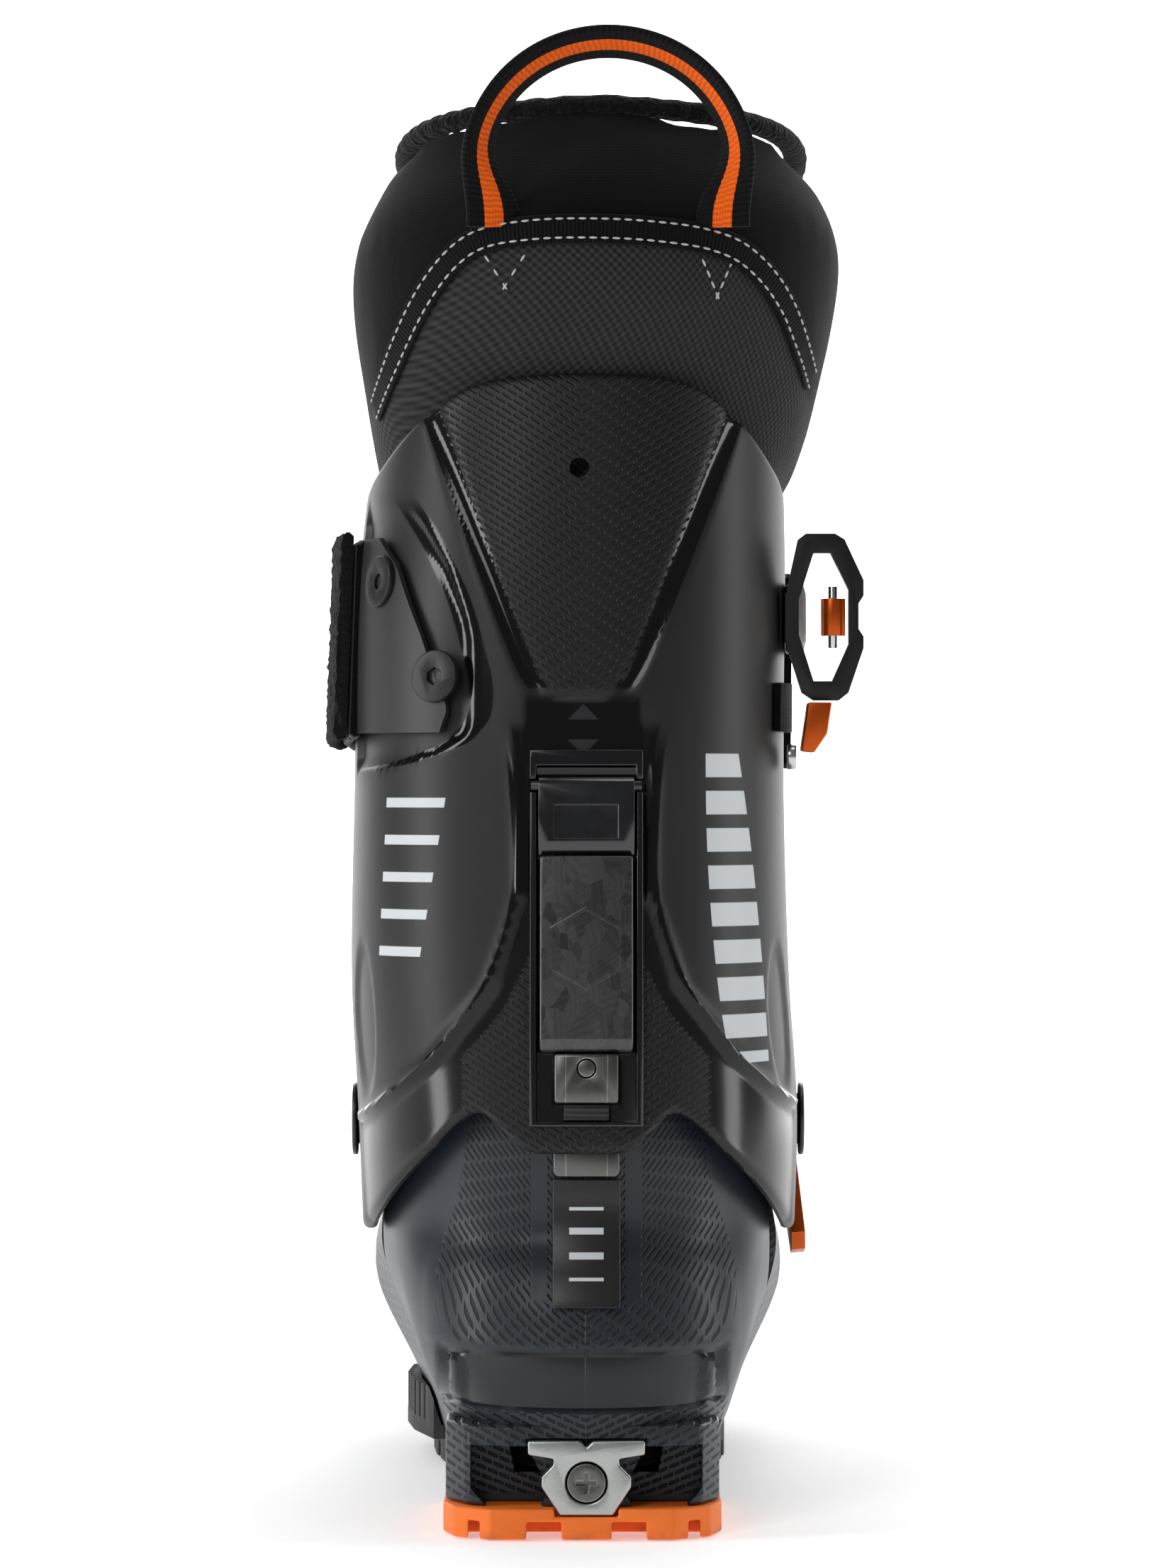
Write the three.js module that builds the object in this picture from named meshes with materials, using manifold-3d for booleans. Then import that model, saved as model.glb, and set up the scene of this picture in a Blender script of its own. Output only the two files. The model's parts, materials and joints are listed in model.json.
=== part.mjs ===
// A right-foot alpine touring boot: lower shell, hinged cuff with a walk lever, liner, strap buckle and instep
// buckle. Millimetres, +Z up, toe along +Y, outer (lateral) side along +X, origin at the middle of the heel tread.
import * as THREE from 'three';
import { LoftGeometry } from 'three/addons/geometries/LoftGeometry.js';
import { RoundedBoxGeometry } from 'three/addons/geometries/RoundedBoxGeometry.js';
import { mergeVertices } from 'three/addons/utils/BufferGeometryUtils.js';
import Module from 'manifold-3d';

const wasm = await Module();
wasm.setup();

// ---- driving dimensions ----
const clearance = 0.3;
const heelRear = -40;
const soleLength = 306;
const treadHeight = 7.6;
const soleThickness = 11.7;
const shellWall = 4.5;
const shellTop = 136;
const shellFloor = 12;
const ankleHalf = 50.5;
const ankleCentre = -3;
const pivotY = 48;
const pivotZ = 100;
const pivotPad = 46;
const boltRadius = 6.5;
const cuffWall = 4;
const cuffRound = 2.6;
const cuffRimRear = 292.6;
const cuffLip = 95.6;
const linerGap = 0.6;
const linerFootGap = 2.7;
const linerFootWall = 6;
const linerLegWall = 9;
const collarTop = 363;
const collarFlare = 17;
const loopCentre = 5.5;
const loopHalf = 35;
const loopRise = 46;
const loopFoot = 329;
const loopRear = -21;
const loopWidth = 15.5;
const loopThick = 2.4;
const channelHalf = 14.2;
const channelBottom = 2.5;
const channelTop = 97;
const channelDepth = 4.3;
const leverHalf = 12;
const leverBottom = 21.2;
const leverHinge = 88;
const spineSlope = 0.09;
const strapLow = 200;
const strapWidth = 52;
const strapThick = 2.6;
const strapBoltRadius = 6.7;
const bucklePin = new THREE.Vector3(63.5, 16, 231);
const leverPivot = new THREE.Vector3(50, 104, 102);
const leverSlant = -0.55;
const leverFlare = -0.1;
const instepLeverLength = 46;
const insertRadius = 5.5;
const toeEnd = heelRear + soleLength;
const archStation = 104;
const insertY = toeEnd - 26;
const insertZ = 30;

const group = new THREE.Group();

// ---- helpers ----

// A smooth curve through [place, value] knots, constant past both ends.
function through(...knots) {
  const slopes = knots.map((knot, i) => {
    const before = knots[Math.max(i - 1, 0)];
    const after = knots[Math.min(i + 1, knots.length - 1)];
    return (after[1] - before[1]) / (after[0] - before[0]);
  });
  return (place) => {
    if (place <= knots[0][0]) return knots[0][1];
    if (place >= knots[knots.length - 1][0]) return knots[knots.length - 1][1];
    const i = knots.findIndex((knot) => knot[0] > place) - 1;
    const span = knots[i + 1][0] - knots[i][0];
    const t = (place - knots[i][0]) / span;
    const rise = knots[i + 1][1] - knots[i][1];
    const ease = t * t * (3 - 2 * t);
    const bend = span * t * (1 - t) * (slopes[i] * (1 - t) - slopes[i + 1] * t);
    return knots[i][1] + rise * ease + bend;
  };
}

function solid(geometry) {
  const plain = new THREE.BufferGeometry().copy(geometry);
  plain.deleteAttribute('normal');
  plain.deleteAttribute('uv');
  const merged = mergeVertices(plain, 1e-4);
  return new wasm.Manifold(new wasm.Mesh({
    numProp: 3,
    vertProperties: merged.attributes.position.array,
    triVerts: new Uint32Array(merged.index.array),
  }));
}

function geometryOf(body) {
  const mesh = body.getMesh();
  const geometry = new THREE.BufferGeometry();
  geometry.setAttribute('position', new THREE.BufferAttribute(new Float32Array(mesh.vertProperties), 3));
  geometry.setIndex(new THREE.BufferAttribute(new Uint32Array(mesh.triVerts), 1));
  geometry.computeVertexNormals();
  return geometry;
}

function cut(body, ...tools) {
  return geometryOf(tools.reduce((left, tool) => left.subtract(solid(tool)), solid(body)));
}

function join(...pieces) {
  return geometryOf(pieces.slice(1).reduce((sum, piece) => sum.add(solid(piece)), solid(pieces[0])));
}

function material(color, roughness, metalness = 0) {
  return new THREE.MeshStandardMaterial({ color, roughness, metalness });
}

function add(name, geometry, look, parent = group) {
  const mesh = new THREE.Mesh(geometry, look());
  mesh.name = name;
  parent.add(mesh);
  return mesh;
}

// A closed loft through rings of points, each ring turned to run counterclockwise about the way the loft goes.
function loft(sections) {
  const middle = (ring) => ring.reduce((sum, point) => sum.add(point), new THREE.Vector3()).divideScalar(ring.length);
  const start = middle(sections[0]);
  const ahead = middle(sections[1]).sub(start);
  const turn = new THREE.Vector3();
  sections[0].forEach((point, i, ring) => {
    const next = ring[(i + 1) % ring.length];
    turn.add(point.clone().sub(start).cross(next.clone().sub(start)));
  });
  const rings = turn.dot(ahead) > 0 ? sections : sections.map((ring) => [...ring].reverse());
  return new LoftGeometry(rings, { capStart: true, capEnd: true });
}

function box(x0, x1, y0, y1, z0, z1) {
  const made = new THREE.BoxGeometry(x1 - x0, y1 - y0, z1 - z0);
  return made.translate((x0 + x1) / 2, (y0 + y1) / 2, (z0 + z1) / 2);
}

function roundedBox(x0, x1, y0, y1, z0, z1, radius) {
  const made = new RoundedBoxGeometry(x1 - x0, y1 - y0, z1 - z0, 1, radius);
  return made.translate((x0 + x1) / 2, (y0 + y1) / 2, (z0 + z1) / 2);
}

function cylinderX(radius, x0, x1, y, z, sides = 24) {
  return new THREE.CylinderGeometry(radius, radius, x1 - x0, sides)
    .rotateZ(Math.PI / 2).translate((x0 + x1) / 2, y, z);
}

function cylinderY(radius, y0, y1, x, z, sides = 24) {
  return new THREE.CylinderGeometry(radius, radius, y1 - y0, sides).translate(x, (y0 + y1) / 2, z);
}

function cylinderZ(radius, z0, z1, x, y, sides = 24) {
  return new THREE.CylinderGeometry(radius, radius, z1 - z0, sides)
    .rotateX(Math.PI / 2).translate(x, y, (z0 + z1) / 2);
}

function shapeOf(points) {
  return new THREE.Shape(points.map(([a, b]) => new THREE.Vector2(a, b)));
}

// An outline in the XZ plane (seen from the heel), extruded from y0 to y1.
function plateY(points, y0, y1) {
  return new THREE.ExtrudeGeometry(shapeOf(points), { depth: y1 - y0, bevelEnabled: false, curveSegments: 4 })
    .rotateX(Math.PI / 2).translate(0, y1, 0);
}

// An outline in the YZ plane (seen from the side), extruded from x0 to x1.
function plateX(points, x0, x1) {
  return new THREE.ExtrudeGeometry(shapeOf(points), { depth: x1 - x0, bevelEnabled: false, curveSegments: 4 })
    .rotateX(Math.PI / 2).rotateZ(Math.PI / 2).translate(x0, 0, 0);
}

// An outline in the XY plane (seen from above), extruded from z0 to z1.
function plateZ(points, z0, z1) {
  return new THREE.ExtrudeGeometry(shapeOf(points), { depth: z1 - z0, bevelEnabled: false })
    .translate(0, 0, z0);
}

function power(value, exponent) {
  return Math.sign(value) * Math.abs(value) ** exponent;
}

// Turns a geometry from +Y outwards to a surface normal at a point.
function seat(geometry, point, normal) {
  const turn = new THREE.Quaternion().setFromUnitVectors(new THREE.Vector3(0, -1, 0), normal);
  return geometry.applyQuaternion(turn).translate(point.x, point.y, point.z);
}

// ---- materials ----
const shellPlastic = () => material(0x3c4046, 0.5);
const cuffPlastic = () => material(0x2f2f30, 0.5);
const glossBlack = () => material(0x0f1013, 0.15);
const mattBlack = () => material(0x1b1b1d, 0.7);
const orangeRubber = () => material(0xe8742c, 0.65);
const orangeAlloy = () => material(0xd2601e, 0.3, 0.8);
const blackRubber = () => material(0x161618, 0.8);
const castSteel = () => material(0xa9aeac, 0.45, 1);
const darkSteel = () => material(0x4a4b4e, 0.35, 1);
const polishedSteel = () => material(0xbfc2c3, 0.2, 1);
const linerCloth = () => material(0x0e0f11, 0.9);
const webbing = () => material(0x17181a, 0.85);
const forgedCarbon = () => material(0x2c2c2d, 0.3);

// ---- lower shell surface ----

// The stations ahead of the arch keep their share of the sole's length.
function forward(y) {
  return archStation + (y - archStation) * (toeEnd - archStation) / (266 - archStation);
}

const shellRear = through([8, -36], [24, -37.5], [42, -39], [57, -37], [66, -33], [74, -27.2], [84, -26.8],
  [100, -28.5], [120, -26], [136, -20]);
const shellFront = through([12, toeEnd - 16], [24, toeEnd - 3], [40, toeEnd], [54, toeEnd - 6], [62, toeEnd - 19],
  [72, forward(222)], [84, forward(190)], [98, forward(160)], [112, forward(137)], [125, forward(119)],
  [136, 106], [150, 92]);
const heelHalf = through([8, 31], [24, 34], [44, 41.5], [64, 44], [80, 44], [100, 44], [136, 43]);
const waistHalf = through([12, 33], [24, 36], [44, 44], [64, 51], [80, 51], [100, ankleHalf], [136, 46]);
const ballHalf = through([12, 42], [24, 46], [46, 56], [58, 57], [70, 54], [84, 47.5], [100, 42]);
const heelCap = 46;
const toeCap = 66;
const heelStation = heelRear + 30;
const waistStation = heelRear + 88;
const ballStation = forward(165);

function shellHalf(y, z) {
  return through([heelStation, heelHalf(z)], [waistStation, waistHalf(z)], [ballStation, ballHalf(z)])(y);
}

function shellCentre(y, z) {
  const height = through([20, 0], [100, ankleCentre])(z);
  return height + through([waistStation, 0], [ballStation, -2])(y) * (z < 100 ? 1 - z / 130 : 0.2);
}

// The points of one side at height z, from the heel to the toe: [y, share of the half width].
function shellSide(z, inset, quarter) {
  const rear = shellRear(z) + inset;
  const front = shellFront(z + inset) - inset * 0.4;
  const points = [];
  for (let i = 0; i <= quarter; i += 1) {
    const angle = (i / quarter) * Math.PI / 2;
    points.push([rear + heelCap * (1 - power(Math.cos(angle), 0.9)), power(Math.sin(angle), 0.9)]);
  }
  const capStart = Math.max(front - toeCap, rear + heelCap + 10);
  for (let i = 1; i < 4; i += 1) {
    points.push([THREE.MathUtils.lerp(rear + heelCap, capStart, i / 4), 1]);
  }
  for (let i = quarter; i >= 0; i -= 1) {
    const angle = (i / quarter) * Math.PI / 2;
    points.push([front - (front - capStart) * (1 - power(Math.cos(angle), 0.85)), power(Math.sin(angle), 0.85)]);
  }
  return points;
}

function shellRing(z, inset, level = z) {
  const side = shellSide(z, inset, inset > shellWall ? 4 : 6);
  const place = (sign) => ([y, share]) => {
    const half = shellHalf(y, z) - inset;
    return new THREE.Vector3(shellCentre(y, z) + sign * half * share, y, level);
  };
  const right = side.map(place(1));
  const left = side.slice(1, -1).map(place(-1)).reverse();
  return [...right, ...left];
}

// The height of the shell's outside over a point of the instep.
function instepHeight(x, y) {
  let low = 40;
  let high = 150;
  for (let i = 0; i < 30; i += 1) {
    const z = (low + high) / 2;
    const front = shellFront(z);
    const capStart = Math.max(front - toeCap, shellRear(z) + heelCap + 10);
    const along = THREE.MathUtils.clamp((y - capStart) / (front - capStart), 0, 1);
    const share = (1 - along ** (2 / 0.85)) ** (0.85 / 2);
    const inside = y < front && Math.abs(x - shellCentre(y, z)) < shellHalf(y, z) * share;
    if (inside) low = z;
    else high = z;
  }
  return (low + high) / 2;
}

// ---- cuff surface ----
const cuffRear = through([95, -36.3], [140, -32.25], [170, -29.55], [200, -26.8], [250, -19.5], [292, -10.5], [365, 5]);
const cuffFront = through([72, 138], [100, 136], [150, 118], [200, 108], [240, 111], [292, 118], [365, 128]);
const cuffHalf = through([72, 56.5], [104, 57.5], [138, 57.2], [189, 56], [240, 55.8], [264, 54.6], [292, 53]);
const cuffCentre = through([72, -2], [104, -2.3], [138, -4.2], [189, -4.5], [240, -3.8], [292, -1], [330, 2.5]);
const cuffRim = through([0, cuffRimRear], [25, 290], [45, 281.5], [65, 271], [90, 262], [120, 250], [160, 240]);
const cuffHem = through([0, cuffLip], [8, 96.2], [13, 100.5], [19, 105.5], [25, 103.5], [36, 95.5], [50, 87],
  [65, 79], [78, 73.5], [90, 71.5], [96, 75], [102, 92], [108, 112], [118, 133], [134, 153], [156, 162]);
const cuffEdge = 157;

// A point of the cuff's oval at an angle from the heel (degrees, positive to the outer side).
function ovalPoint(angle, z, inset) {
  const turn = THREE.MathUtils.degToRad(angle);
  const rear = cuffRear(z) + inset;
  const front = cuffFront(z) - inset;
  const middle = (rear + front) / 2;
  const deep = (front - rear) / 2;
  const x = cuffCentre(z) + (cuffHalf(z) - inset) * power(Math.sin(turn), 2 / cuffRound);
  return new THREE.Vector3(x, middle - deep * power(Math.cos(turn), 2 / cuffRound), z);
}

function ovalNormal(angle, z) {
  const along = ovalPoint(angle + 1, z, 0).sub(ovalPoint(angle - 1, z, 0));
  const up = ovalPoint(angle, z + 2, 0).sub(ovalPoint(angle, z - 2, 0));
  return along.cross(up).normalize();
}

// A wall that follows the oval from one angle to another, through the heights of each angle, between two insets.
function wall(from, to, steps, heights, outer, inner) {
  const sections = [];
  for (let i = 0; i <= steps; i += 1) {
    const angle = from + (to - from) * i / steps;
    const rise = heights(angle);
    const front = rise.map((z) => ovalPoint(angle, z, outer(angle, z)));
    const back = rise.map((z) => ovalPoint(angle, z, inner(angle, z))).reverse();
    sections.push([...front, ...back]);
  }
  return loft(sections);
}

function evenly(low, high, count) {
  return Array.from({ length: count + 1 }, (_, i) => THREE.MathUtils.lerp(low, high, i / count));
}

// ---- lower shell pieces ----

const heelPlan = [[-20, heelRear + 3], [20, heelRear + 3], [29, heelRear + 8], [33.5, heelRear + 20], [33.5, 40],
  [-35.5, 40], [-35.5, heelRear + 20], [-30, heelRear + 8]];

function lowerShell() {
  const outer = [];
  for (const z of [shellFloor, 24, 34, 44, 54, 60, 66, 74, 84, 92, 100, 112, 124, shellTop]) {
    outer.push(shellRing(z, 0));
  }
  const inner = [];
  for (const z of [shellFloor + 3, 24, 34, 44, 58, 68, 84, 100, 114, shellTop]) {
    inner.push(shellRing(z, shellWall));
  }
  inner.push(shellRing(shellTop, shellWall, shellTop + 6));
  const heelBlock = plateZ(heelPlan, treadHeight + clearance, 28);
  const clog = join(loft(outer), heelBlock);
  const throat = plateZ([[-26, 60], [20, 60], [17, 150], [10, 186], [-14, 186], [-22, 150]], 70, 150);
  const window = (sign) => plateY([[sign * 15, 23], [sign * 29, 23], [sign * 29, 12], [sign * 24, 6.5],
    [sign * 12, 6.5], [sign * 9.2, 12]], heelRear - 5, heelRear + 17);
  const slot = (sign) => box(sign * 34 - 4.5, sign * 34 + 4.5, heelRear + 24, heelRear + 44, 16, 26);
  const fitting = box(-15.2, 15.2, heelRear - 5, heelRear + 5.5, 5, 25);
  const groove = box(-9, 9, heelRear - 6, heelRear + 1.6, 57, 66);
  const padCut = (x0, x1) => cylinderX(pivotPad, x0, x1, pivotY, pivotZ, 32);
  return cut(clog, loft(inner), throat, window(1), window(-1), slot(1), slot(-1), fitting, groove,
    padCut(ankleCentre + ankleHalf, 70), padCut(-80, ankleCentre - ankleHalf),
    cylinderX(boltRadius + clearance, -90, 90, pivotY, pivotZ, 20),
    cylinderX(insertRadius + clearance, toeFace(1) - 3.5, toeFace(1) + 9, insertY, insertZ, 16),
    cylinderX(insertRadius + clearance, toeFace(-1) - 9, toeFace(-1) + 3.5, insertY, insertZ, 16));
}

function heelOutsole() {
  const half = (sign) => (sign > 0 ? 34 : 36);
  const plan = [[-24, heelRear], [22, heelRear], [31, heelRear + 7], [half(1), heelRear + 18], [half(1), 40],
    [-half(-1), 40], [-half(-1), heelRear + 18], [-33, heelRear + 7]];
  const slab = plateZ(plan, 0, treadHeight);
  const tools = [];
  for (const [x0, x1] of [[-29.5, -26.6], [-15, -6.2], [6.3, 15], [25.4, 28.4]]) {
    tools.push(box(x0, x1, heelRear - 5, heelRear + 16, -5, 4.4));
  }
  for (const y of [heelRear + 24, heelRear + 52]) {
    tools.push(box(-50, -14, y, y + 5, -5, 3.6));
    tools.push(box(14, 50, y, y + 5, -5, 3.6));
  }
  tools.push(box(-8, 8, heelRear - 1, heelRear + 5.8, 5.6, treadHeight + 1));
  return cut(slab, ...tools);
}

// How far in the ribs of the inner edge are cut at a place along the sole.
const ribDepth = through([forward(118), -43], [forward(165), -49], [forward(212), -42.5]);

function forefootOutsole() {
  const smooth = (knots) => new THREE.SplineCurve(knots.map(([x, y]) => new THREE.Vector2(x, forward(y)))).getPoints(26)
    .map((point) => [point.x, point.y]);
  const outline = smooth([[31, 92], [36, 130], [39, 165], [36, 205], [25, 240], [4, 259], [-14, 258],
    [-33, 236], [-41, 200], [-43, 165], [-38, 125], [-33, 92]]);
  const slab = solid(plateZ(outline, -2, 30));
  const side = [[86, 6], [112, 0], [forward(188), 0], [forward(225), 3], [toeEnd + 4, 10]];
  const top = [[toeEnd + 4, soleThickness], [86, soleThickness]];
  const tread = solid(plateX([...side, ...top], -60, 60));
  const tools = [];
  for (const y of [104, 124, 144, 164, 184, 204, 224].map(forward)) {
    tools.push(box(-60, -18, y, y + 5, -5, 4.6));
    tools.push(box(12, 60, y, y + 5, -5, 4.6));
    tools.push(box(-18.5, 12.5, y + 9, y + 12, -5, 2.6));
  }
  const edge = [[-24, 118], [-24, 212], [-43, 212], [-49.5, 186], [-50.5, 165], [-48, 142], [-42, 118]];
  const rand = solid(plateZ(edge.map(([x, y]) => [x, forward(y)]), 8, 22));
  const shell = loft([shellFloor - 0.2, 24].map((z) => shellRing(z, -2 * clearance)));
  for (let y = forward(122); y < forward(208); y += 6) {
    tools.push(box(-60, ribDepth(y), y, y + 2, 12.4, 30));
  }
  tools.push(shell);
  return geometryOf(tools.reduce((left, tool) => left.subtract(solid(tool)), slab.intersect(tread).add(rand)));
}

function heelFitting() {
  const outline = [[-6.6, 5.9], [6.6, 5.9], [11.2, 13], [11.2, 15.5], [8.2, 18.5], [8.2, 20], [14.6, 21], [14.6, 24.5],
    [1.6, 24.5], [0, 22.8], [-1.6, 24.5], [-14.6, 24.5], [-14.6, 21], [-8.2, 20], [-8.2, 18.5], [-11.2, 15.5],
    [-11.2, 13]];
  return cut(plateY(outline, heelRear + 0.6, heelRear + 5.2), cylinderY(5.2, heelRear - 1, heelRear + 3.4, 0, 14.1));
}

function heelScrew() {
  const head = cylinderY(4.8, heelRear + 0.4, heelRear + 3.1, 0, 14.1);
  const arm = (wide, tall) => box(-wide, wide, heelRear - 1, heelRear + 1.7, 14.1 - tall, 14.1 + tall);
  return cut(head, arm(2.6, 0.6), arm(0.6, 2.6));
}

function heelInlay() {
  const sections = [];
  for (const z of [57.5, 60, 66, 74, 84, 89]) {
    const back = shellRear(z) - 1.7;
    const front = shellRear(z) - 0.6;
    sections.push([new THREE.Vector3(-8.5, back, z), new THREE.Vector3(8.5, back, z),
      new THREE.Vector3(8.5, front, z), new THREE.Vector3(-8.5, front, z)]);
  }
  return loft(sections);
}

function shellCatch() {
  const outer = pivotY - 78.3;
  return plateY([[-8.3, 90.6], [-7.3, 89.6], [7.3, 89.6], [8.3, 90.6], [8.3, 95.5], [7.3, 96.5], [-7.3, 96.5],
    [-8.3, 95.5]], outer, pivotY - 76.8);
}

// The steel sockets of the toe, let into the shell's side walls.
function toeFace(side) {
  const front = shellFront(insertZ);
  const along = (insertY - (front - toeCap)) / toeCap;
  const share = (1 - along ** (2 / 0.85)) ** (0.85 / 2);
  return shellCentre(insertY, insertZ) + side * shellHalf(insertY, insertZ) * share;
}

function toeInsert(side) {
  const face = toeFace(side);
  const [x0, x1] = side > 0 ? [face - 3.2, face + 1.2] : [face - 1.2, face + 3.2];
  const [c0, c1] = side > 0 ? [face - 1.2, face + 3] : [face - 3, face + 1.2];
  return cut(cylinderX(insertRadius, x0, x1, insertY, insertZ, 16), cylinderX(2, c0, c1, insertY, insertZ, 10));
}

function instepFlap() {
  const sections = [];
  for (let i = 0; i <= 9; i += 1) {
    const y = forward(110 + i * 10.4);
    const narrow = 1 - 0.3 * (i / 9) ** 2;
    const lower = [];
    const upper = [];
    for (let j = 0; j <= 8; j += 1) {
      const x = -2.5 + narrow * (j - 4) * 8.2;
      const z = instepHeight(x, y);
      lower.push(new THREE.Vector3(x, y, z + 0.9));
      upper.unshift(new THREE.Vector3(x, y, z + 3.4));
    }
    sections.push([...lower, ...upper]);
  }
  return loft(sections);
}

function instepLadder() {
  const sections = [];
  const teeth = 6;
  for (let i = 0; i <= teeth * 2; i += 1) {
    const x = -24 + i * 2.2;
    const lift = i % 2 ? 3.4 : 2.2;
    const row = [-6, 6].map((dy) => [126 + dy, instepHeight(x, 126 + dy) + 3.9]);
    sections.push([new THREE.Vector3(x, row[0][0], row[0][1]), new THREE.Vector3(x, row[1][0], row[1][1]),
      new THREE.Vector3(x, row[1][0], row[1][1] + lift), new THREE.Vector3(x, row[0][0], row[0][1] + lift)]);
  }
  return loft(sections);
}

function footLiner() {
  const outer = [];
  for (const z of [shellFloor + 3.6, 24, 34, 44, 58, 68, 84, 100, 114, 126]) {
    outer.push(shellRing(z, shellWall + linerFootGap));
  }
  const inner = [];
  for (const z of [shellFloor + 9, 32, 46, 58, 70, 90, 110, 126]) {
    inner.push(shellRing(z, shellWall + linerFootGap + linerFootWall));
  }
  inner.push(shellRing(126, shellWall + linerFootGap + linerFootWall, 132));
  return cut(loft(outer), loft(inner));
}

function footbed() {
  const inset = shellWall + linerFootGap + linerFootWall + 1.4;
  return loft([shellFloor + 9.5, shellFloor + 12.5].map((z) => shellRing(z, inset)));
}

function pivotWasher(side) {
  const face = ankleCentre + side * ankleHalf;
  const [x0, x1] = side > 0 ? [face + clearance, face + 1] : [face - 1, face - clearance];
  return cut(cylinderX(11, x0, x1, pivotY, pivotZ, 20), cylinderX(boltRadius + clearance, x0 - 3, x1 + 3, pivotY,
    pivotZ, 20));
}

function pivotBolt(side) {
  const outside = (side > 0 ? cuffCentre(pivotZ) + cuffHalf(pivotZ) : -(cuffCentre(pivotZ) - cuffHalf(pivotZ)));
  const face = side > 0 ? ankleCentre + ankleHalf : -(ankleCentre - ankleHalf);
  const shaft = side > 0 ? cylinderX(boltRadius, face - 3, outside + 1, pivotY, pivotZ, 20)
    : cylinderX(boltRadius, -outside - 1, -face + 3, pivotY, pivotZ, 20);
  const head = side > 0 ? cylinderX(9.5, outside + 0.4, outside + 1.8, pivotY, pivotZ)
    : cylinderX(9.5, -outside - 1.8, -outside - 0.4, pivotY, pivotZ);
  const socket = cylinderX(2.6, side * (outside + 1.2) - 1.4, side * (outside + 1.2) + 1.4, pivotY, pivotZ, 6);
  return cut(join(shaft, head), socket);
}

// ---- instep buckle, in a frame at its hinge: z down the closed lever, x along the hinge ----
function instepFrame() {
  const frame = new THREE.Group();
  frame.position.copy(leverPivot);
  frame.rotation.set(leverSlant, leverFlare, 0);
  group.add(frame);
  return frame;
}

function instepLever() {
  const outline = [[-8, 1], [8, 1], [8.5, -24], [6, -instepLeverLength + 2], [0, -instepLeverLength],
    [-6, -instepLeverLength + 2], [-8.5, -24]];
  const plate = plateX(outline, 0.6, 4.2);
  const knuckle = cylinderY(2.8, -8, 8, 1.6, 0, 14);
  const notch = box(-4, 8, -4.6, 4.6, -8, 6);
  return cut(join(plate, knuckle), notch, cylinderY(1.5, -12, 12, 1.6, 0, 12),
    box(3, 8, -4.5, 4.5, -instepLeverLength + 10, -16));
}

function instepBase() {
  const plate = box(-3.4, -1.6, -7.5, 7.5, -14, 6);
  const lug = box(-2, 3.6, -4.2, 4.2, -3, 3);
  return cut(join(plate, lug), cylinderY(1.5, -12, 12, 1.6, 0, 12));
}

function instepPin() {
  return cylinderY(1.2, -8.9, 8.9, 1.6, 0, 12);
}

function instepBail() {
  const points = [[-10.6, -9], [-10.6, 4]].map(([y, z]) => new THREE.Vector3(1.6, y, z));
  const over = [[-2.5, -10, 15], [-12, -9.5, 25.5], [-28, -8.5, 35.5], [-42, -6, 38.5]];
  const rise = over.map(([x, y, z]) => new THREE.Vector3(x, y, z));
  const fall = over.map(([x, y, z]) => new THREE.Vector3(x, -y, z)).reverse();
  const back = points.map((point) => new THREE.Vector3(point.x, -point.y, point.z)).reverse();
  const path = new THREE.CatmullRomCurve3([...points, ...rise, ...fall, ...back], false, 'centripetal');
  const round = new THREE.Shape().absarc(0, 0, 1.3, 0, Math.PI * 2);
  return new THREE.ExtrudeGeometry(round, { steps: 30, curveSegments: 3, extrudePath: path });
}

// ---- cuff pieces ----
const spine = new THREE.Group();
spine.position.set(0, cuffRear(95) + (100 - 95) * spineSlope, 100);
spine.rotation.x = -Math.atan(spineSlope);
group.add(spine);
spine.updateMatrixWorld(true);

function cuffShell() {
  const body = wall(-cuffEdge, cuffEdge, 50, (a) => evenly(cuffHem(Math.abs(a)), cuffRim(Math.abs(a)), 6), () => 0,
    () => cuffWall);
  const channel = box(-channelHalf - clearance, channelHalf + clearance, -8, 12, channelBottom - clearance,
    channelTop + clearance).applyMatrix4(spine.matrixWorld);
  const boltHole = cylinderX(boltRadius + clearance, -90, 90, pivotY, pivotZ, 20);
  const sightHole = cylinderY(2.5, -40, 20, -1.8, 268, 16);
  return cut(body, channel, boltHole, sightHole);
}

function leverHousing() {
  const tray = box(-channelHalf, channelHalf, -0.3, channelDepth, channelBottom, channelTop);
  const pocket = box(-leverHalf - 0.5, leverHalf + 0.5, -4, channelDepth - 1, channelBottom + 1.2, 93);
  return cut(tray, pocket, cylinderX(1.7, -20, 20, 0.4, leverHinge, 14));
}

function leverProfile(z0, z1, top) {
  const side = [[-2.6, z0 + 2.4], [-0.6, z0], [2.8, z0], [2.8, z1]];
  return top ? [...side, [2.8, leverHinge], [2, leverHinge + 1.8], [0.4, leverHinge + 2.6], [-1.6, leverHinge + 1.8],
    [-2.6, leverHinge]] : [...side, [-2.6, z1]];
}

function leverCap() {
  const split = 70.5;
  return cut(plateX(leverProfile(split, leverHinge, true), -leverHalf, leverHalf),
    cylinderX(1.7, -20, 20, 0.4, leverHinge, 14), box(-8, 8, -4, -2, split + 4, leverHinge - 5));
}

function leverBody() {
  return plateX(leverProfile(leverBottom, 70.2, false), -leverHalf + 0.3, leverHalf - 0.3);
}

function lockBar() {
  return cut(roundedBox(-8.1, 8.1, -1.4, 2.9, 8.3, 20.8, 0.8), cylinderY(2.5, -3, 1, 0, 17, 16));
}

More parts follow.
